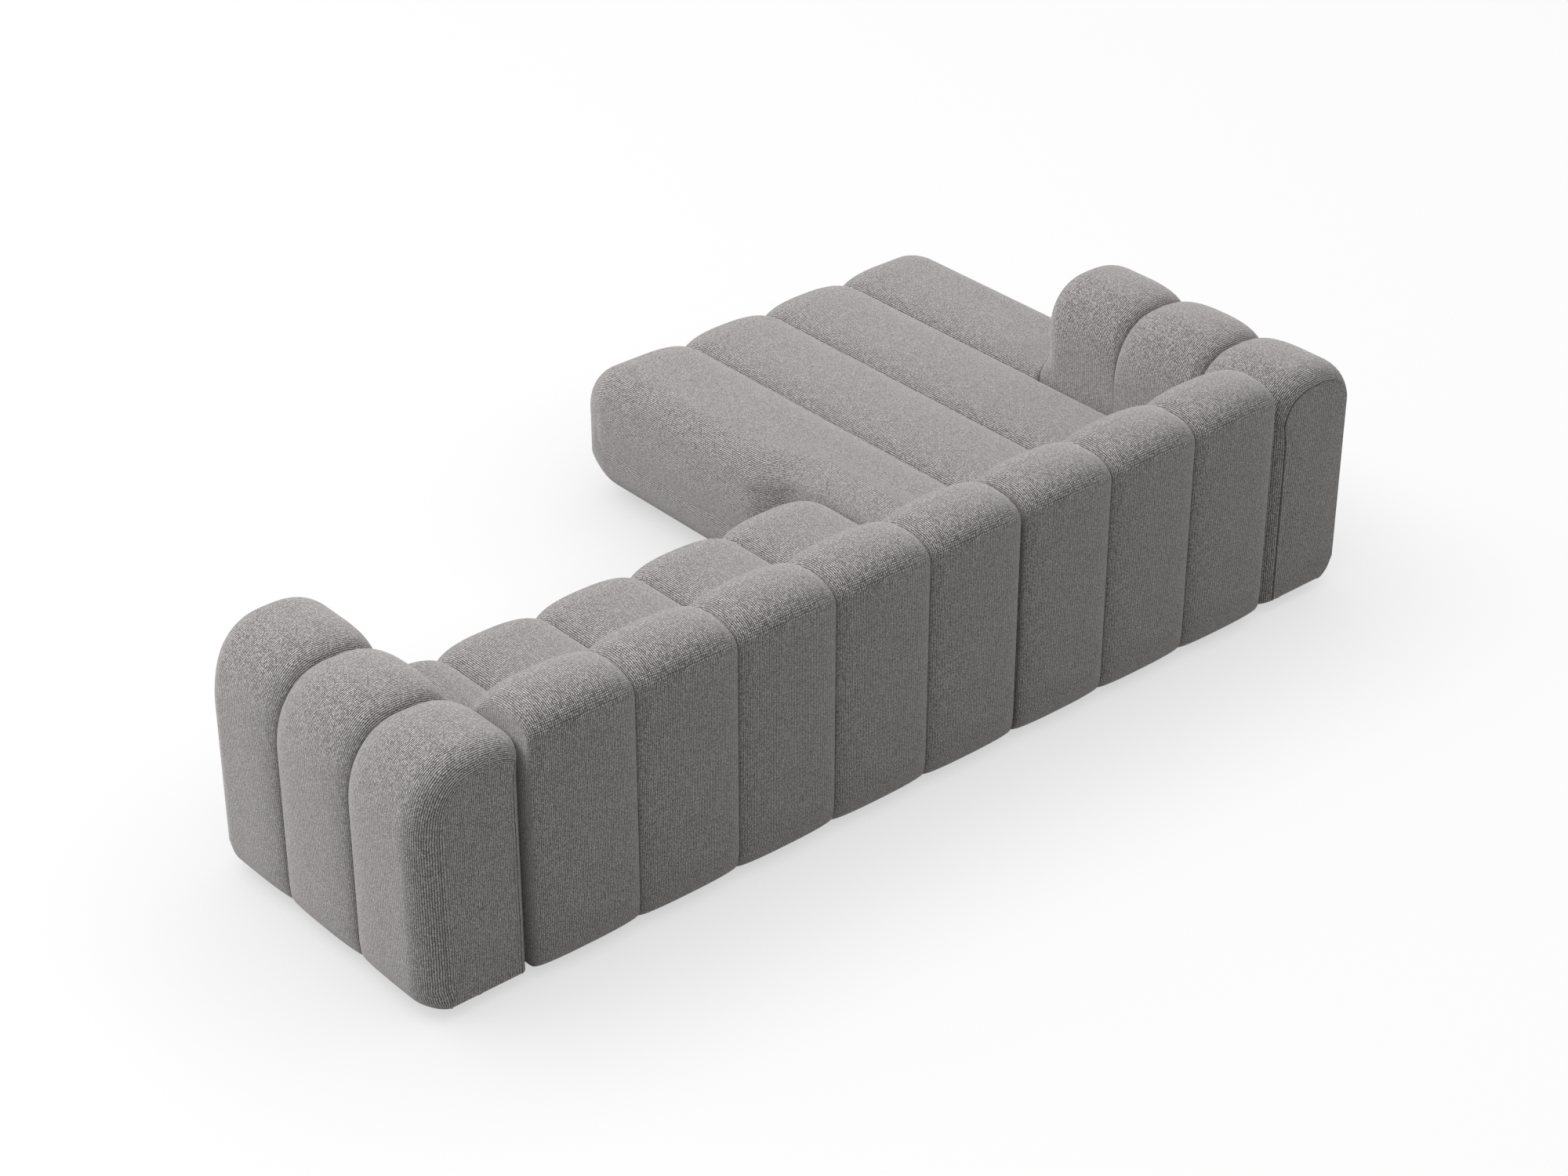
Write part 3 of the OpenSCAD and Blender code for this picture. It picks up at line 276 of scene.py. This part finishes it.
def add_face(bm, uv, verts, spots, rounded=True):
    """A face with the UV places in spots, shaded smooth if rounded."""
    f = bm.faces.new(verts)
    f.smooth = rounded
    for loop, spot in zip(f.loops, spots):
        loop[uv].uv = spot


def flat_end(bm, uv, ring, plan):
    add_face(bm, uv, ring, [(v.co.y, v.co.z) for v in ring], False)


def domed_end(bm, uv, ring, plan, depth):
    """Closes a ring of an arm's end with shrinking rings, pushed along v up to depth."""
    def weave(verts):
        add_face(bm, uv, verts, [(v.co.x, v.co.z) for v in verts])

    us = [p[0] for p in plan]
    mid_u, mid_z = (min(us) + max(us)) / 2, max(p[2] for p in plan) * 0.5
    last = ring
    for s in (0.94, 0.82, 0.64, 0.42, 0.2):
        push = depth * (1 - s * s)
        row = [bm.verts.new(to_frame((mid_u + (p[0] - mid_u) * s, p[1] + push,
                                      mid_z + (p[2] - mid_z) * s))) for p in plan]
        for i in range(len(ring)):
            k = (i + 1) % len(ring)
            weave((last[i], last[k], row[k], row[i]))
        last = row
    weave(last)


def side_wall(bm, uv, ring, plan, start, dome):
    """Closes the open side of a chaise channel: rows from its top edge to its bottom edge,
    domed past the place start."""
    tip = max(range(len(plan)), key=lambda i: plan[i][1])
    low = list(range(len(plan) - 1, tip - 1, -1))

    def below(v):
        """The bottom edge's u and z at the place v."""
        for i, k in zip(low, low[1:]):
            a, b = plan[i], plan[k]
            if v <= b[1]:
                t = max(0, v - a[1]) / max(1e-6, b[1] - a[1])
                return a[0] + (b[0] - a[0]) * t, a[2] + (b[2] - a[2]) * t
        return plan[tip][0], plan[tip][2]

    columns = []
    for i in range(1, tip):
        u, v, z = plan[i]
        edge_u, edge_z = below(v)
        bulge = dome * smooth((v - start) / side_ramp) * min(1, (z - edge_z) / wall_dome_h) ** 2
        column = [ring[i]]
        for k in range(1, wall_n):
            t = k / wall_n
            column.append(bm.verts.new(to_frame((u + (edge_u - u) * t + bulge * 4 * t * (1 - t), v,
                                                 z + (edge_z - z) * t))))
        columns.append(column)
    first, last = columns[0], columns[-1]
    end = wall_n - 1
    faces = [(a[k], b[k], b[k + 1], a[k + 1]) for a, b in zip(columns, columns[1:]) for k in range(end)]
    faces += [(ring[0], first[k], first[k + 1]) for k in range(end)] + [(ring[0], first[end], ring[low[0]])]
    faces += [(last[k], ring[tip], last[k + 1]) for k in range(end)]
    # The lowest row meets the bottom edge, whose points lie at other places
    i = j = 0
    while i < len(columns) - 1 or j < len(low) - 2:
        if j >= len(low) - 2 or (i < len(columns) - 1
                                 and columns[i + 1][end].co.y >= ring[low[j + 1]].co.y):
            faces.append((columns[i][end], columns[i + 1][end], ring[low[j]]))
            i += 1
        else:
            faces.append((columns[i][end], ring[low[j + 1]], ring[low[j]]))
            j += 1
    faces.append((last[end], ring[tip], ring[low[-2]]))
    for verts in faces:
        add_face(bm, uv, verts, [(v.co.z, v.co.y) for v in verts])


def lofted(name, rings, across, along, low_end=flat_end, high_end=flat_end):
    """Closed mesh through rings of plan points. across and along hold the distances that
    the weave follows."""
    bm = bmesh.new()
    uv = bm.loops.layers.uv.new("UVMap")
    n = len(rings[0])
    grid = [[bm.verts.new(to_frame(p)) for p in ring] for ring in rings]
    round_trip = along[-1] + 0.05
    for j in range(len(rings) - 1):
        for i in range(n):
            k = (i + 1) % n
            far = along[k] if k else round_trip
            add_face(bm, uv, (grid[j][i], grid[j + 1][i], grid[j + 1][k], grid[j][k]),
                     ((across[j], along[i]), (across[j + 1], along[i]),
                      (across[j + 1], far), (across[j], far)))
    low_end(bm, uv, grid[0], rings[0])
    high_end(bm, uv, grid[-1], rings[-1])
    bmesh.ops.remove_doubles(bm, verts=bm.verts, dist=2e-5)
    return finished(bm, name)


def cut(obj, boxes):
    """Takes boxes given in plan coordinates out of a piece, as the frame inside it needs."""
    lo = [min(v.co[i] for v in obj.data.vertices) for i in range(3)]
    hi = [max(v.co[i] for v in obj.data.vertices) for i in range(3)]
    cutters = []
    for a, b in boxes:
        p, q = to_frame(a), to_frame(b)
        small = [min(p[i], q[i]) for i in range(3)]
        large = [max(p[i], q[i]) for i in range(3)]
        if any(small[i] >= hi[i] or large[i] <= lo[i] for i in range(3)):
            continue
        bm = bmesh.new()
        bmesh.ops.create_cube(bm, size=1.0)
        for v in bm.verts:
            v.co = Vector([(small[i] + large[i]) / 2 + v.co[i] * (large[i] - small[i]) for i in range(3)])
        cutters.append(finished(bm, "cutter"))
    apply_cutters(obj, cutters)


def apply_cutters(obj, cutters):
    """Takes the cutters out of a piece for good, and removes them."""
    for c in cutters:
        m = obj.modifiers.new("cut", "BOOLEAN")
        m.operation = "DIFFERENCE"
        m.solver = "EXACT"
        m.object = c
    bpy.context.view_layer.update()
    graph = bpy.context.evaluated_depsgraph_get()
    mesh = bpy.data.meshes.new_from_object(obj.evaluated_get(graph))
    old = obj.data
    obj.modifiers.clear()
    obj.data = mesh
    mesh.name = obj.name
    bpy.data.meshes.remove(old)
    for c in cutters:
        data = c.data
        bpy.data.objects.remove(c)
        bpy.data.meshes.remove(data)


# Room for the frame inside the back, seat and chaise: deck, back frame and opening below
g = fit_gap
SEAT_BOXES = [
    ((seat_f0 - g, frame_v0 - g, lip_t - g), (seat_f1 + g, seat_fv + g, deck_top + g)),
    ((seat_f0 - g, frame_v0 - g, deck_h), (seat_f1 + g, back_v1 + g, back_top + g)),
    ((seat_f0 + lip_w, frame_v0 + lip_w, -1), (seat_f1 - lip_w, seat_fv - lip_w, lip_t))]
CHAISE_BOXES = [
    ((ch_f0 - g, frame_v0 - g, lip_t - g), (ch_f1 + g, ch_fv + g, deck_top + g)),
    ((ch_f0 - g, frame_v0 - g, deck_h), (ch_f1 + g, back_v1 + g, back_top + g)),
    ((ch_f1 - 1, bay_v0 - g, lip_t - g), (ch_f2 + g, ch_fv + g, deck_top + g)),
    ((ch_f0 + lip_w, frame_v0 + lip_w, -1), (ch_f1 - lip_w, ch_fv - lip_w, lip_t)),
    ((ch_f1 - lip_w - 1, bay_v0 + lip_w, -1), (ch_f2 - lip_w, ch_fv - lip_w, lip_t))]


def crowned(path, turn, amp, u0, t):
    """Ring of a channel that starts at u0: its profile pushed out by the crown at station t."""
    u = u0 + seam_gap / 2 + (channel_w - seam_gap) * (1 + t) / 2
    ring = []
    for p, n in zip(path, turn):
        out = amp(p) * swell(t)
        ring.append((u, p[0] + n[0] * out, max(0, p[1] + n[1] * out)))
    return ring


def back_piece(name, u0):
    turn = normals(back_path, reach)
    rings = []
    for t in stations:
        ring = crowned(back_path, turn, back_amp, u0, t)
        rings.append(ring + [(ring[0][0], back_t, 0)])
    return lofted(name, rings, across_of(rings, highest(back_path)), along_of(back_path + [(back_t, 0)]))


def seat_piece(name, u0, v1):
    path = seat_path([seat_v0], v1)
    turn = normals(path, reach)
    rings = [crowned(path, turn, seat_amp, u0, t) for t in stations]
    return lofted(name, rings, across_of(rings, 3), along_of(path))


def side_piece(name, tops, v1, open_v, out, u_seam, turned):
    """Chaise channel with an open side that swells by out past its line; turned draws it
    towards lower u."""
    path = seat_path(tops, v1)
    turn = normals(path, reach)
    # Each row has its place and crown where the side is closed, the same where it is open,
    # and its angle on the rounded corner
    rows = [((1 + t) / 2, swell(t), channel_w * (1 + t) / 2, swell(t), 0) for t in stations if t <= 0]
    near, edge = channel_w / 2, channel_w + out - side_r
    for k in (0.33, 0.67):
        t = sin(radians(15 * k))
        rows.append(((1 + t) / 2, swell(t), near + (edge - near) * k, 1, 0))
    for i in range(19):
        a = 5 * i
        t = sin(radians(15 * (a / 18 + 1)))
        rows.append(((1 + t) / 2, swell(t), channel_w + out - side_r * (1 - sin(radians(a))), 1, a))
    rings = []
    for closed_place, closed_crown, open_place, open_crown, angle in rows:
        inset = side_r * (1 - cos(radians(angle)))
        t = min(1, max(0, open_place - channel_w - out + side_under) / side_under)
        lift = side_toe_h * (1 - math.sqrt(1 - t * t))
        ring = []
        for p, n in zip(path, turn):
            wide = smooth((p[0] - open_v) / side_ramp)
            full = seat_amp(p) * (closed_crown * (1 - wide) + open_crown * wide)
            x = max(seam_gap / 2, channel_w * closed_place * (1 - wide) + open_place * wide)
            ring.append((u_seam - x if turned else u_seam + x, p[0] + n[0] * (full - inset * wide),
                         max(0, p[1] + max(0, n[1]) * (full - inset * wide)
                             + lift * wide * max(0, 1 - p[1] / (seat_h - nose_r)))))
        rings.append(ring)
    last = max(i for i in range(len(path)) if path[i][1] >= seat_h)
    return lofted(name, rings, across_of(rings, last), along_of(path),
                  high_end=partial(side_wall, start=max(open_v, tops[0]),
                                   dome=-inner_wall_dome if turned else outer_wall_dome))


def lobe_ring(place, share, inset, chaise, k):
    """Ring of an arm's lobe k: share of the crown, and inset on the rounded end."""
    ring = []
    h = chaise_arm_h if chaise else arm_h
    for p, n in zip(arm_paths[chaise], arm_turns[chaise]):
        inner = p[0] < arm_w / 2
        over = p[0] / arm_w if chaise else 1 - p[0] / arm_w
        crown = chaise_arm_crown if chaise else arm_side_crown
        out = share * arm_swell(p, h, chaise != inner, 0 if inner else crown)
        bare = smooth((p[1] - arm_mid) / square_ramp) if chaise and inner and k == 2 else 1
        back = inset * bare * (1 - over * (1 - end_share))
        least = 0 if k == 0 or p[1] <= arm_mid else -arm_crown
        x = min(arm_w + crown, max(least, p[0] + n[0] * out)) - n[0] * back
        if p[1] <= arm_toe:
            rise = arm_end_toe * inset / arm_end_r * (1 - p[1] / arm_toe)
        else:
            rise = n[1] * (out - back)
        ring.append((arm_u(x, chaise), place, max(0, p[1] + rise)))
    return ring


def lobe_rows(k):
    """Place, share of the crown and inset of each row of the lobe k."""
    v0 = k * lobe_l + seam_gap / 2
    w = lobe_l - seam_gap
    if k == 1:
        return [(v0 + w * (1 + t) / 2, swell(t), 0) for t in stations]
    rows = [(arm_end_r * (1 - sin(radians(a))), 1, arm_end_r * (1 - cos(radians(a))))
            for a in range(90, -1, -5)]
    half = [(w * (1 + t) / 2, swell(t), 0) for t in stations if t >= 0]
    step = (half[0][0] - rows[-1][0]) / 4
    rows += [(rows[-1][0] + step * i, 1, 0) for i in (1, 2, 3)]
    rows += half
    if k == 2:
        rows = [(arm_l - place, share, inset) for place, share, inset in reversed(rows)]
    return rows


def arm_prism(chaise):
    """The hollow of an arm, for its side panels and ribs."""
    x0, x1 = arm_inner_foam, arm_w - arm_outer_foam
    shape = [(x0 - g, lip_t - g), (x0 - g, arm_panel_h + g), (x0 + arm_shoulder - g, arm_rib_h + g),
             (x1 - arm_shoulder + g, arm_rib_h + g), (x1 + g, arm_panel_h + g), (x1 + g, lip_t - g)]
    bm = bmesh.new()
    ends = [[bm.verts.new(to_frame((arm_u(x, chaise), v, z))) for x, z in shape]
            for v in (arm_end_foam - g, arm_l - arm_end_foam + g)]
    for i in range(len(shape)):
        k = (i + 1) % len(shape)
        bm.faces.new((ends[0][i], ends[0][k], ends[1][k], ends[1][i]))
    bm.faces.new(ends[0])
    bm.faces.new(ends[1])
    return finished(bm, "cutter")


def lobe_piece(name, k, chaise):
    rings = [lobe_ring(*row, chaise, k) for row in lobe_rows(k)]
    path = arm_paths[chaise]
    obj = lofted(name, rings, across_of(rings, highest(path)), along_of(path),
                 low_end=partial(domed_end, depth=-arm_end_dome) if k == 0 else flat_end,
                 high_end=partial(domed_end, depth=arm_end_dome) if k == 2 else flat_end)
    apply_cutters(obj, [arm_prism(chaise)])
    a, b = sorted(arm_u(x, chaise) for x in (arm_inner_foam + lip_w, arm_w - arm_outer_foam - lip_w))
    cut(obj, [((a, arm_end_foam - g, -1), (b, arm_l - arm_end_foam + g, lip_t))])
    return obj


def cord(name, points):
    """Round cord along plan points, closed at both ends."""
    bm = bmesh.new()
    uv = bm.loops.layers.uv.new("UVMap")
    pts = [Vector(to_frame(p)) for p in points]
    turn = 2 * math.pi / cord_sides
    rings = []
    side = None
    for i, p in enumerate(pts):
        d = (pts[min(i + 1, len(pts) - 1)] - pts[max(i - 1, 0)]).normalized()
        if side is None:
            side = d.orthogonal().normalized()
        side = (side - d * side.dot(d)).normalized()
        up = d.cross(side)
        rings.append([bm.verts.new(p + (side * cos(turn * k) + up * sin(turn * k)) * cord_r / 1000)
                      for k in range(cord_sides)])
    w = turn * cord_r / 1000
    run = 0.0
    for j in range(len(rings) - 1):
        end = run + (pts[j + 1] - pts[j]).length
        for k in range(cord_sides):
            m = (k + 1) % cord_sides
            add_face(bm, uv, (rings[j][k], rings[j][m], rings[j + 1][m], rings[j + 1][k]),
                     ((k * w, run), ((k + 1) * w, run), ((k + 1) * w, end), (k * w, end)))
        run = end
    bm.faces.new(rings[0])
    bm.faces.new(rings[-1])
    return finished(bm, name)


# Materials

class Nodes:
    """Short hand for building a node tree."""

    def __init__(self, tree):
        self.tree = tree

    def add(self, kind, inputs=None, **props):
        node = self.tree.nodes.new(kind)
        for k, v in props.items():
            setattr(node, k, v)
        for k, v in (inputs or {}).items():
            if isinstance(v, bpy.types.NodeSocket):
                self.tree.links.new(v, node.inputs[k])
            else:
                node.inputs[k].default_value = v
        return node

    def math(self, op, a, b=0.0, c=0.0):
        return self.add("ShaderNodeMath", {0: a, 1: b, 2: c}, operation=op).outputs[0]

    def total(self, *parts):
        """Sum of values, each times its weight."""
        terms = [self.math("MULTIPLY", value, weight) for value, weight in parts]
        out = terms[0]
        for term in terms[1:]:
            out = self.math("ADD", out, term)
        return out

    def wave(self, value, pitch):
        return self.math("SINE", self.math("MULTIPLY", value, 2 * math.pi / pitch))

    def ridges(self, value):
        """One round ridge for each whole step of the value."""
        return self.math("ABSOLUTE", self.math("SINE", self.math("MULTIPLY", value, math.pi)))

    def place(self):
        return self.add("ShaderNodeTexCoord").outputs["Object"]

    def stretched(self, vector, scale):
        return self.add("ShaderNodeMapping", {"Vector": vector, "Scale": scale}).outputs[0]

    def parts(self, vector):
        return self.add("ShaderNodeSeparateXYZ", {0: vector}).outputs

    def noise(self, vector, scale, detail=3.0, rough=0.55):
        return self.add("ShaderNodeTexNoise", {"Vector": vector, "Scale": scale, "Detail": detail,
                                               "Roughness": rough}).outputs[0]

    def cells(self, vector, scale, output):
        return self.add("ShaderNodeTexVoronoi", {"Vector": vector, "Scale": scale}).outputs[output]

    def seen(self):
        """1 for rays that show the surface itself, 0 for the light that it throws on."""
        path = self.add("ShaderNodeLightPath").outputs
        return self.math("MAXIMUM", path["Is Camera Ray"],
                         self.math("MAXIMUM", path["Is Glossy Ray"], path["Is Transmission Ray"]))


class Finish(Nodes):
    """A material on the principled shader."""

    def __init__(self, name):
        self.mat = bpy.data.materials.new(name)
        self.mat.use_nodes = True
        super().__init__(self.mat.node_tree)
        self.bsdf = self.tree.nodes["Principled BSDF"]

    def link(self, out, socket):
        self.tree.links.new(out, self.bsdf.inputs[socket])

    def colour(self, value, low, high, mid=None):
        """Base colour from a ramp over the value, between (position, colour) stops."""
        bar = self.add("ShaderNodeValToRGB", {0: value})
        stops = bar.color_ramp.elements
        for stop, (position, rgb) in zip(stops, (low, high)):
            stop.position, stop.color = position, rgb + (1,)
        if mid:
            stops.new(mid[0]).color = mid[1] + (1,)
        self.link(bar.outputs[0], "Base Color")

    def bump(self, height, distance, strength=1.0):
        node = self.add("ShaderNodeBump", {"Height": height, "Distance": distance, "Strength": strength})
        self.link(node.outputs[0], "Normal")

    def set(self, **values):
        for k, v in values.items():
            self.bsdf.inputs[k.replace("_", " ")].default_value = v


def fabric(name, tone=1.0):
    """Chenille: ribs that run along each channel, crossed by picks; sizes in metres."""
    rib_pitch, pick_pitch, drift = 0.0048, 0.0024, 0.0035
    n = Finish(name)
    uv = n.add("ShaderNodeUVMap", uv_map="UVMap").outputs[0]
    place = n.place()
    wander = n.math("MULTIPLY", n.math("SUBTRACT", n.noise(uv, 38.0, 2.0), 0.5), drift)
    x, y, _ = n.parts(uv)
    rib_at = n.math("MULTIPLY", n.math("ADD", x, wander), 1 / rib_pitch)
    pick_at = n.math("MULTIPLY", n.math("ADD", y, wander), 1 / pick_pitch)
    weave = n.math("MULTIPLY", n.math("POWER", n.ridges(rib_at), 0.6),
                   n.math("ADD", n.math("MULTIPLY", n.ridges(pick_at), 0.55), 0.45))
    cell = n.add("ShaderNodeCombineXYZ", {0: n.math("FLOOR", n.math("MULTIPLY", rib_at, 2.0)),
                                          1: n.math("FLOOR", pick_at)}).outputs[0]
    knot = n.add("ShaderNodeTexWhiteNoise", {"Vector": cell}).outputs["Value"]
    fuzz = n.noise(place, 700.0, 3.0, 0.7)
    broad = n.noise(place, 9.0, 3.0, 0.5)
    shade = n.total((weave, 0.64), (knot, 0.26), (fuzz, 0.08), (broad, 0.02))
    dark, mid, pale = (tuple(c * tone for c in v) for v in (
        (0.012, 0.011, 0.010), (0.218, 0.206, 0.201), (0.860, 0.826, 0.812)))
    n.colour(shade, (0.34, dark), (0.84, pale), (0.59, mid))
    n.bump(n.total((weave, 0.8), (fuzz, 0.4)), 0.0012, 0.6)
    n.set(Roughness=0.95, Sheen_Weight=0.75, Sheen_Roughness=0.6, Sheen_Tint=(1.0, 0.96, 0.955, 1),
          Specular_IOR_Level=0.15)
    return n.mat


def plywood():
    n = Finish("plywood")
    place = n.place()
    figure = n.noise(n.stretched(place, (3.0, 3.0, 55.0)), 3.0, 5.0, 0.6)
    ply = n.wave(n.math("ADD", n.parts(place)[2], n.math("MULTIPLY", figure, 0.004)), 0.009)
    shade = n.total((figure, 0.9), (ply, 0.07))
    n.colour(shade, (0.2, (0.36, 0.22, 0.10)), (0.8, (0.68, 0.50, 0.29)))
    n.bump(shade, 0.0006, 0.5)
    n.set(Roughness=0.7, Specular_IOR_Level=0.3)
    return n.mat


def beech():
    n = Finish("beech")
    place = n.place()
    figure = n.noise(n.stretched(place, (6.0, 60.0, 60.0)), 4.0, 4.0, 0.6)
    fleck = n.noise(n.stretched(place, (90.0, 700.0, 700.0)), 1.0, 1.0)
    n.colour(n.total((figure, 0.75), (fleck, 0.3)), (0.3, (0.42, 0.23, 0.11)), (0.75, (0.66, 0.43, 0.25)))
    n.bump(figure, 0.0005, 0.4)
    n.set(Roughness=0.6, Specular_IOR_Level=0.35)
    return n.mat


def hardboard():
    n = Finish("hardboard")
    fibre = n.noise(n.place(), 160.0, 5.0, 0.7)
    n.colour(fibre, (0.3, (0.10, 0.055, 0.03)), (0.75, (0.24, 0.15, 0.085)))
    n.bump(fibre, 0.0004, 0.5)
    n.set(Roughness=0.75, Specular_IOR_Level=0.25)
    return n.mat


def steel():
    n = Finish("zinc_steel")
    place = n.place()
    cloud = n.noise(place, 60.0, 4.0)
    n.colour(n.total((n.cells(place, 180.0, "Color"), 0.4), (cloud, 0.6)),
             (0.2, (0.42, 0.43, 0.44)), (0.8, (0.66, 0.67, 0.68)))
    n.link(n.math("ADD", n.math("MULTIPLY", cloud, 0.2), 0.25), "Roughness")
    n.bump(cloud, 0.0002, 0.3)
    n.set(Metallic=1.0)
    return n.mat


def feet():
    n = Finish("black_plastic")
    place = n.place()
    scuff = n.noise(place, 45.0, 5.0, 0.7)
    n.colour(scuff, (0.35, (0.010, 0.010, 0.011)), (0.85, (0.030, 0.030, 0.031)))
    n.link(n.math("ADD", n.math("MULTIPLY", scuff, 0.25), 0.35), "Roughness")
    n.bump(n.noise(place, 900.0, 2.0), 0.0002, 0.6)
    n.set(Specular_IOR_Level=0.4)
    return n.mat


def webbing():
    n = Finish("webbing")
    x, y, _ = n.parts(n.place())
    woven = n.math("MULTIPLY", n.wave(x, 0.006), n.wave(y, 0.006))
    cross = n.math("ADD", n.math("MULTIPLY", woven, 0.5), 0.5)
    n.colour(cross, (0.1, (0.012, 0.012, 0.014)), (0.9, (0.055, 0.055, 0.06)))
    n.bump(cross, 0.0008, 0.8)
    n.set(Roughness=0.85, Specular_IOR_Level=0.2)
    return n.mat


def lining():
    n = Finish("lining")
    place = n.place()
    shade = n.total((n.cells(place, 350.0, "Distance"), 0.5), (n.noise(place, 500.0, 4.0, 0.7), 0.5))
    n.colour(shade, (0.2, (0.006, 0.006, 0.007)), (0.8, (0.028, 0.028, 0.03)))
    n.bump(shade, 0.0004, 0.7)
    n.set(Roughness=0.95, Specular_IOR_Level=0.15)
    return n.mat


FABRIC = fabric("chenille")
SEAM = fabric("seam_thread", 0.85)
BY_SLOT = {"plywood": plywood(), "beech": beech(), "hardboard": hardboard(), "steel": steel(),
           "feet": feet(), "webbing": webbing(), "lining": lining()}


# Upholstery

def dress(obj, body, material=FABRIC):
    obj.data.materials.clear()
    obj.data.materials.append(material)
    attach(obj, body)


def upholster(piece, body, channel):
    """Puts a soft piece on its body, in place of the frame's own channel."""
    dress(piece, body)
    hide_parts(channel)


for k in range(8):
    chaise = k >= 5
    u0 = chaise_u0 + (k - 5) * channel_w if chaise else k * channel_w
    piece = back_piece(f"back_pad_{k + 1}", u0)
    cut(piece, CHAISE_BOXES if chaise else SEAT_BOXES)
    upholster(piece, "chaise_module" if chaise else "seat_module", f"back_channel_{k + 1}")

for k in range(5):
    piece = seat_piece(f"seat_pad_{k + 1}", k * channel_w, seat_depth)
    cut(piece, SEAT_BOXES)
    upholster(piece, "seat_module", f"seat_channel_{k + 1}")

nose_v0 = chaise_depth - 2 * nose_r
for k in range(4):
    name = f"chaise_pad_{k + 1}"
    if k == 0:
        piece = side_piece(name, [seat_v0, open_v0, nose_v0], chaise_depth, open_v0,
                           side_swell, chaise_u0 + channel_w, True)
    elif k == 3:
        piece = side_piece(name, [last_v0, nose_v0], chaise_depth, last_v0 - side_ramp,
                           outer_swell, chaise_back_u1, False)
    else:
        piece = seat_piece(name, chaise_u0 + k * channel_w, chaise_depth)
    cut(piece, CHAISE_BOXES)
    upholster(piece, "chaise_module", f"chaise_channel_{k + 1}")

for arm, chaise in (("seat_arm", False), ("chaise_arm", True)):
    body = "chaise_module" if chaise else "seat_module"
    for k in range(3):
        upholster(lobe_piece(f"{arm}_pad_{k + 1}", k, chaise), body, f"{arm}_channel_{k + 1}")
    # Sewn edge of the panel that closes each end of the arm
    for end, k in (("rear", 0), ("front", 2)):
        place = arm_end_r * (1 - sin(radians(cord_angle)))
        ring = lobe_ring(arm_l - place if k else place, 1, arm_end_r * (1 - cos(radians(cord_angle))),
                         chaise, k)
        dress(cord(f"{arm}_{end}_seam", [p for p in ring if p[2] > cord_low]), body, SEAM)

# Finishes of the frame's own nodes, by the last word of their names
SLOTS = {"rail": "plywood", "rails": "plywood", "uprights": "plywood", "board": "plywood", "ribs": "plywood",
         "blocks": "beech", "webbing": "webbing", "cover": "lining", "feet": "feet", "bolts": "steel",
         "plates": "steel"}
for name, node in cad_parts.items():
    last = name.split("_")[-1]
    if last == "panels":
        slot = "hardboard" if "back" in name else "plywood"
    elif last in SLOTS:
        slot = SLOTS[last]
    else:
        continue
    materials = node.data.materials
    if materials:
        for i in range(len(materials)):
            materials[i] = BY_SLOT[slot]
    else:
        materials.append(BY_SLOT[slot])

# Floor. It looks white and keeps a part of the shadow. Close to the sofa its glow is dimmed by ambient
# occlusion, a painted shadow. What it throws on is a plain grey.
half = 30.0
floor_mesh = bpy.data.meshes.new("floor")
floor_mesh.from_pydata([(-half, -half, 0), (half, -half, 0), (half, half, 0), (-half, half, 0)], [],
                       [(0, 1, 2, 3)])
floor = new_object("floor", floor_mesh)

white = Finish("floor_white")
grey_floor = white.add("ShaderNodeBsdfDiffuse", {"Color": (0.35, 0.35, 0.35, 1)}).outputs[0]
shaded = white.add("ShaderNodeBsdfDiffuse", {"Color": (0.9, 0.9, 0.9, 1)}).outputs[0]
# Painted shadow: ambient occlusion dims the floor's glow where the sofa is close by
near = white.add("ShaderNodeAmbientOcclusion", {"Distance": 0.6}, samples=8).outputs["AO"]
floor_glow_with_painted_shadow = white.add("ShaderNodeEmission", {"Strength": white.math("MULTIPLY_ADD", near, 0.36, 0.66)}).outputs[0]
pale = white.add("ShaderNodeMixShader", {0: 0.85, 1: shaded, 2: floor_glow_with_painted_shadow}).outputs[0]
both = white.add("ShaderNodeMixShader", {0: white.seen(), 1: grey_floor, 2: pale}).outputs[0]
white.tree.links.new(both, white.tree.nodes["Material Output"].inputs[0])
floor_mesh.materials.append(white.mat)

# Light: an even sky, which looks white itself, and one large soft lamp
scene = bpy.context.scene
world = bpy.data.worlds.new("studio")
scene.world = world
world.use_nodes = True
sky = world.node_tree.nodes["Background"]
sky.inputs[0].default_value = (1.0, 1.0, 1.0, 1)
air = Nodes(world.node_tree)
air.tree.links.new(air.math("MULTIPLY_ADD", air.seen(), 0.53, 0.46), sky.inputs[1])

key_place, key_target = Vector((4.4, -4.6, 8.6)), Vector((0.0, 0.0, 0.3))
key = bpy.data.lights.new("key", "AREA")
key.shape = "SQUARE"
key.size = 9.0
key.energy = 890
lamp = bpy.data.objects.new("key", key)
scene.collection.objects.link(lamp)
lamp.location = key_place
lamp.rotation_euler = (key_target - key_place).to_track_quat("-Z", "Y").to_euler()

# Camera, as fitted to the photo
cam = bpy.data.cameras.new("camera")
cam.lens = 77.85
cam.sensor_width = 36.0
camera = bpy.data.objects.new("camera", cam)
scene.collection.objects.link(camera)
camera.location = to_frame((-3477, -4896, 4587))
camera.rotation_euler = Vector((-0.5575, -0.6505, -0.5158)).to_track_quat("-Z", "Y").to_euler()
scene.camera = camera
scene.view_settings.view_transform = "Standard"
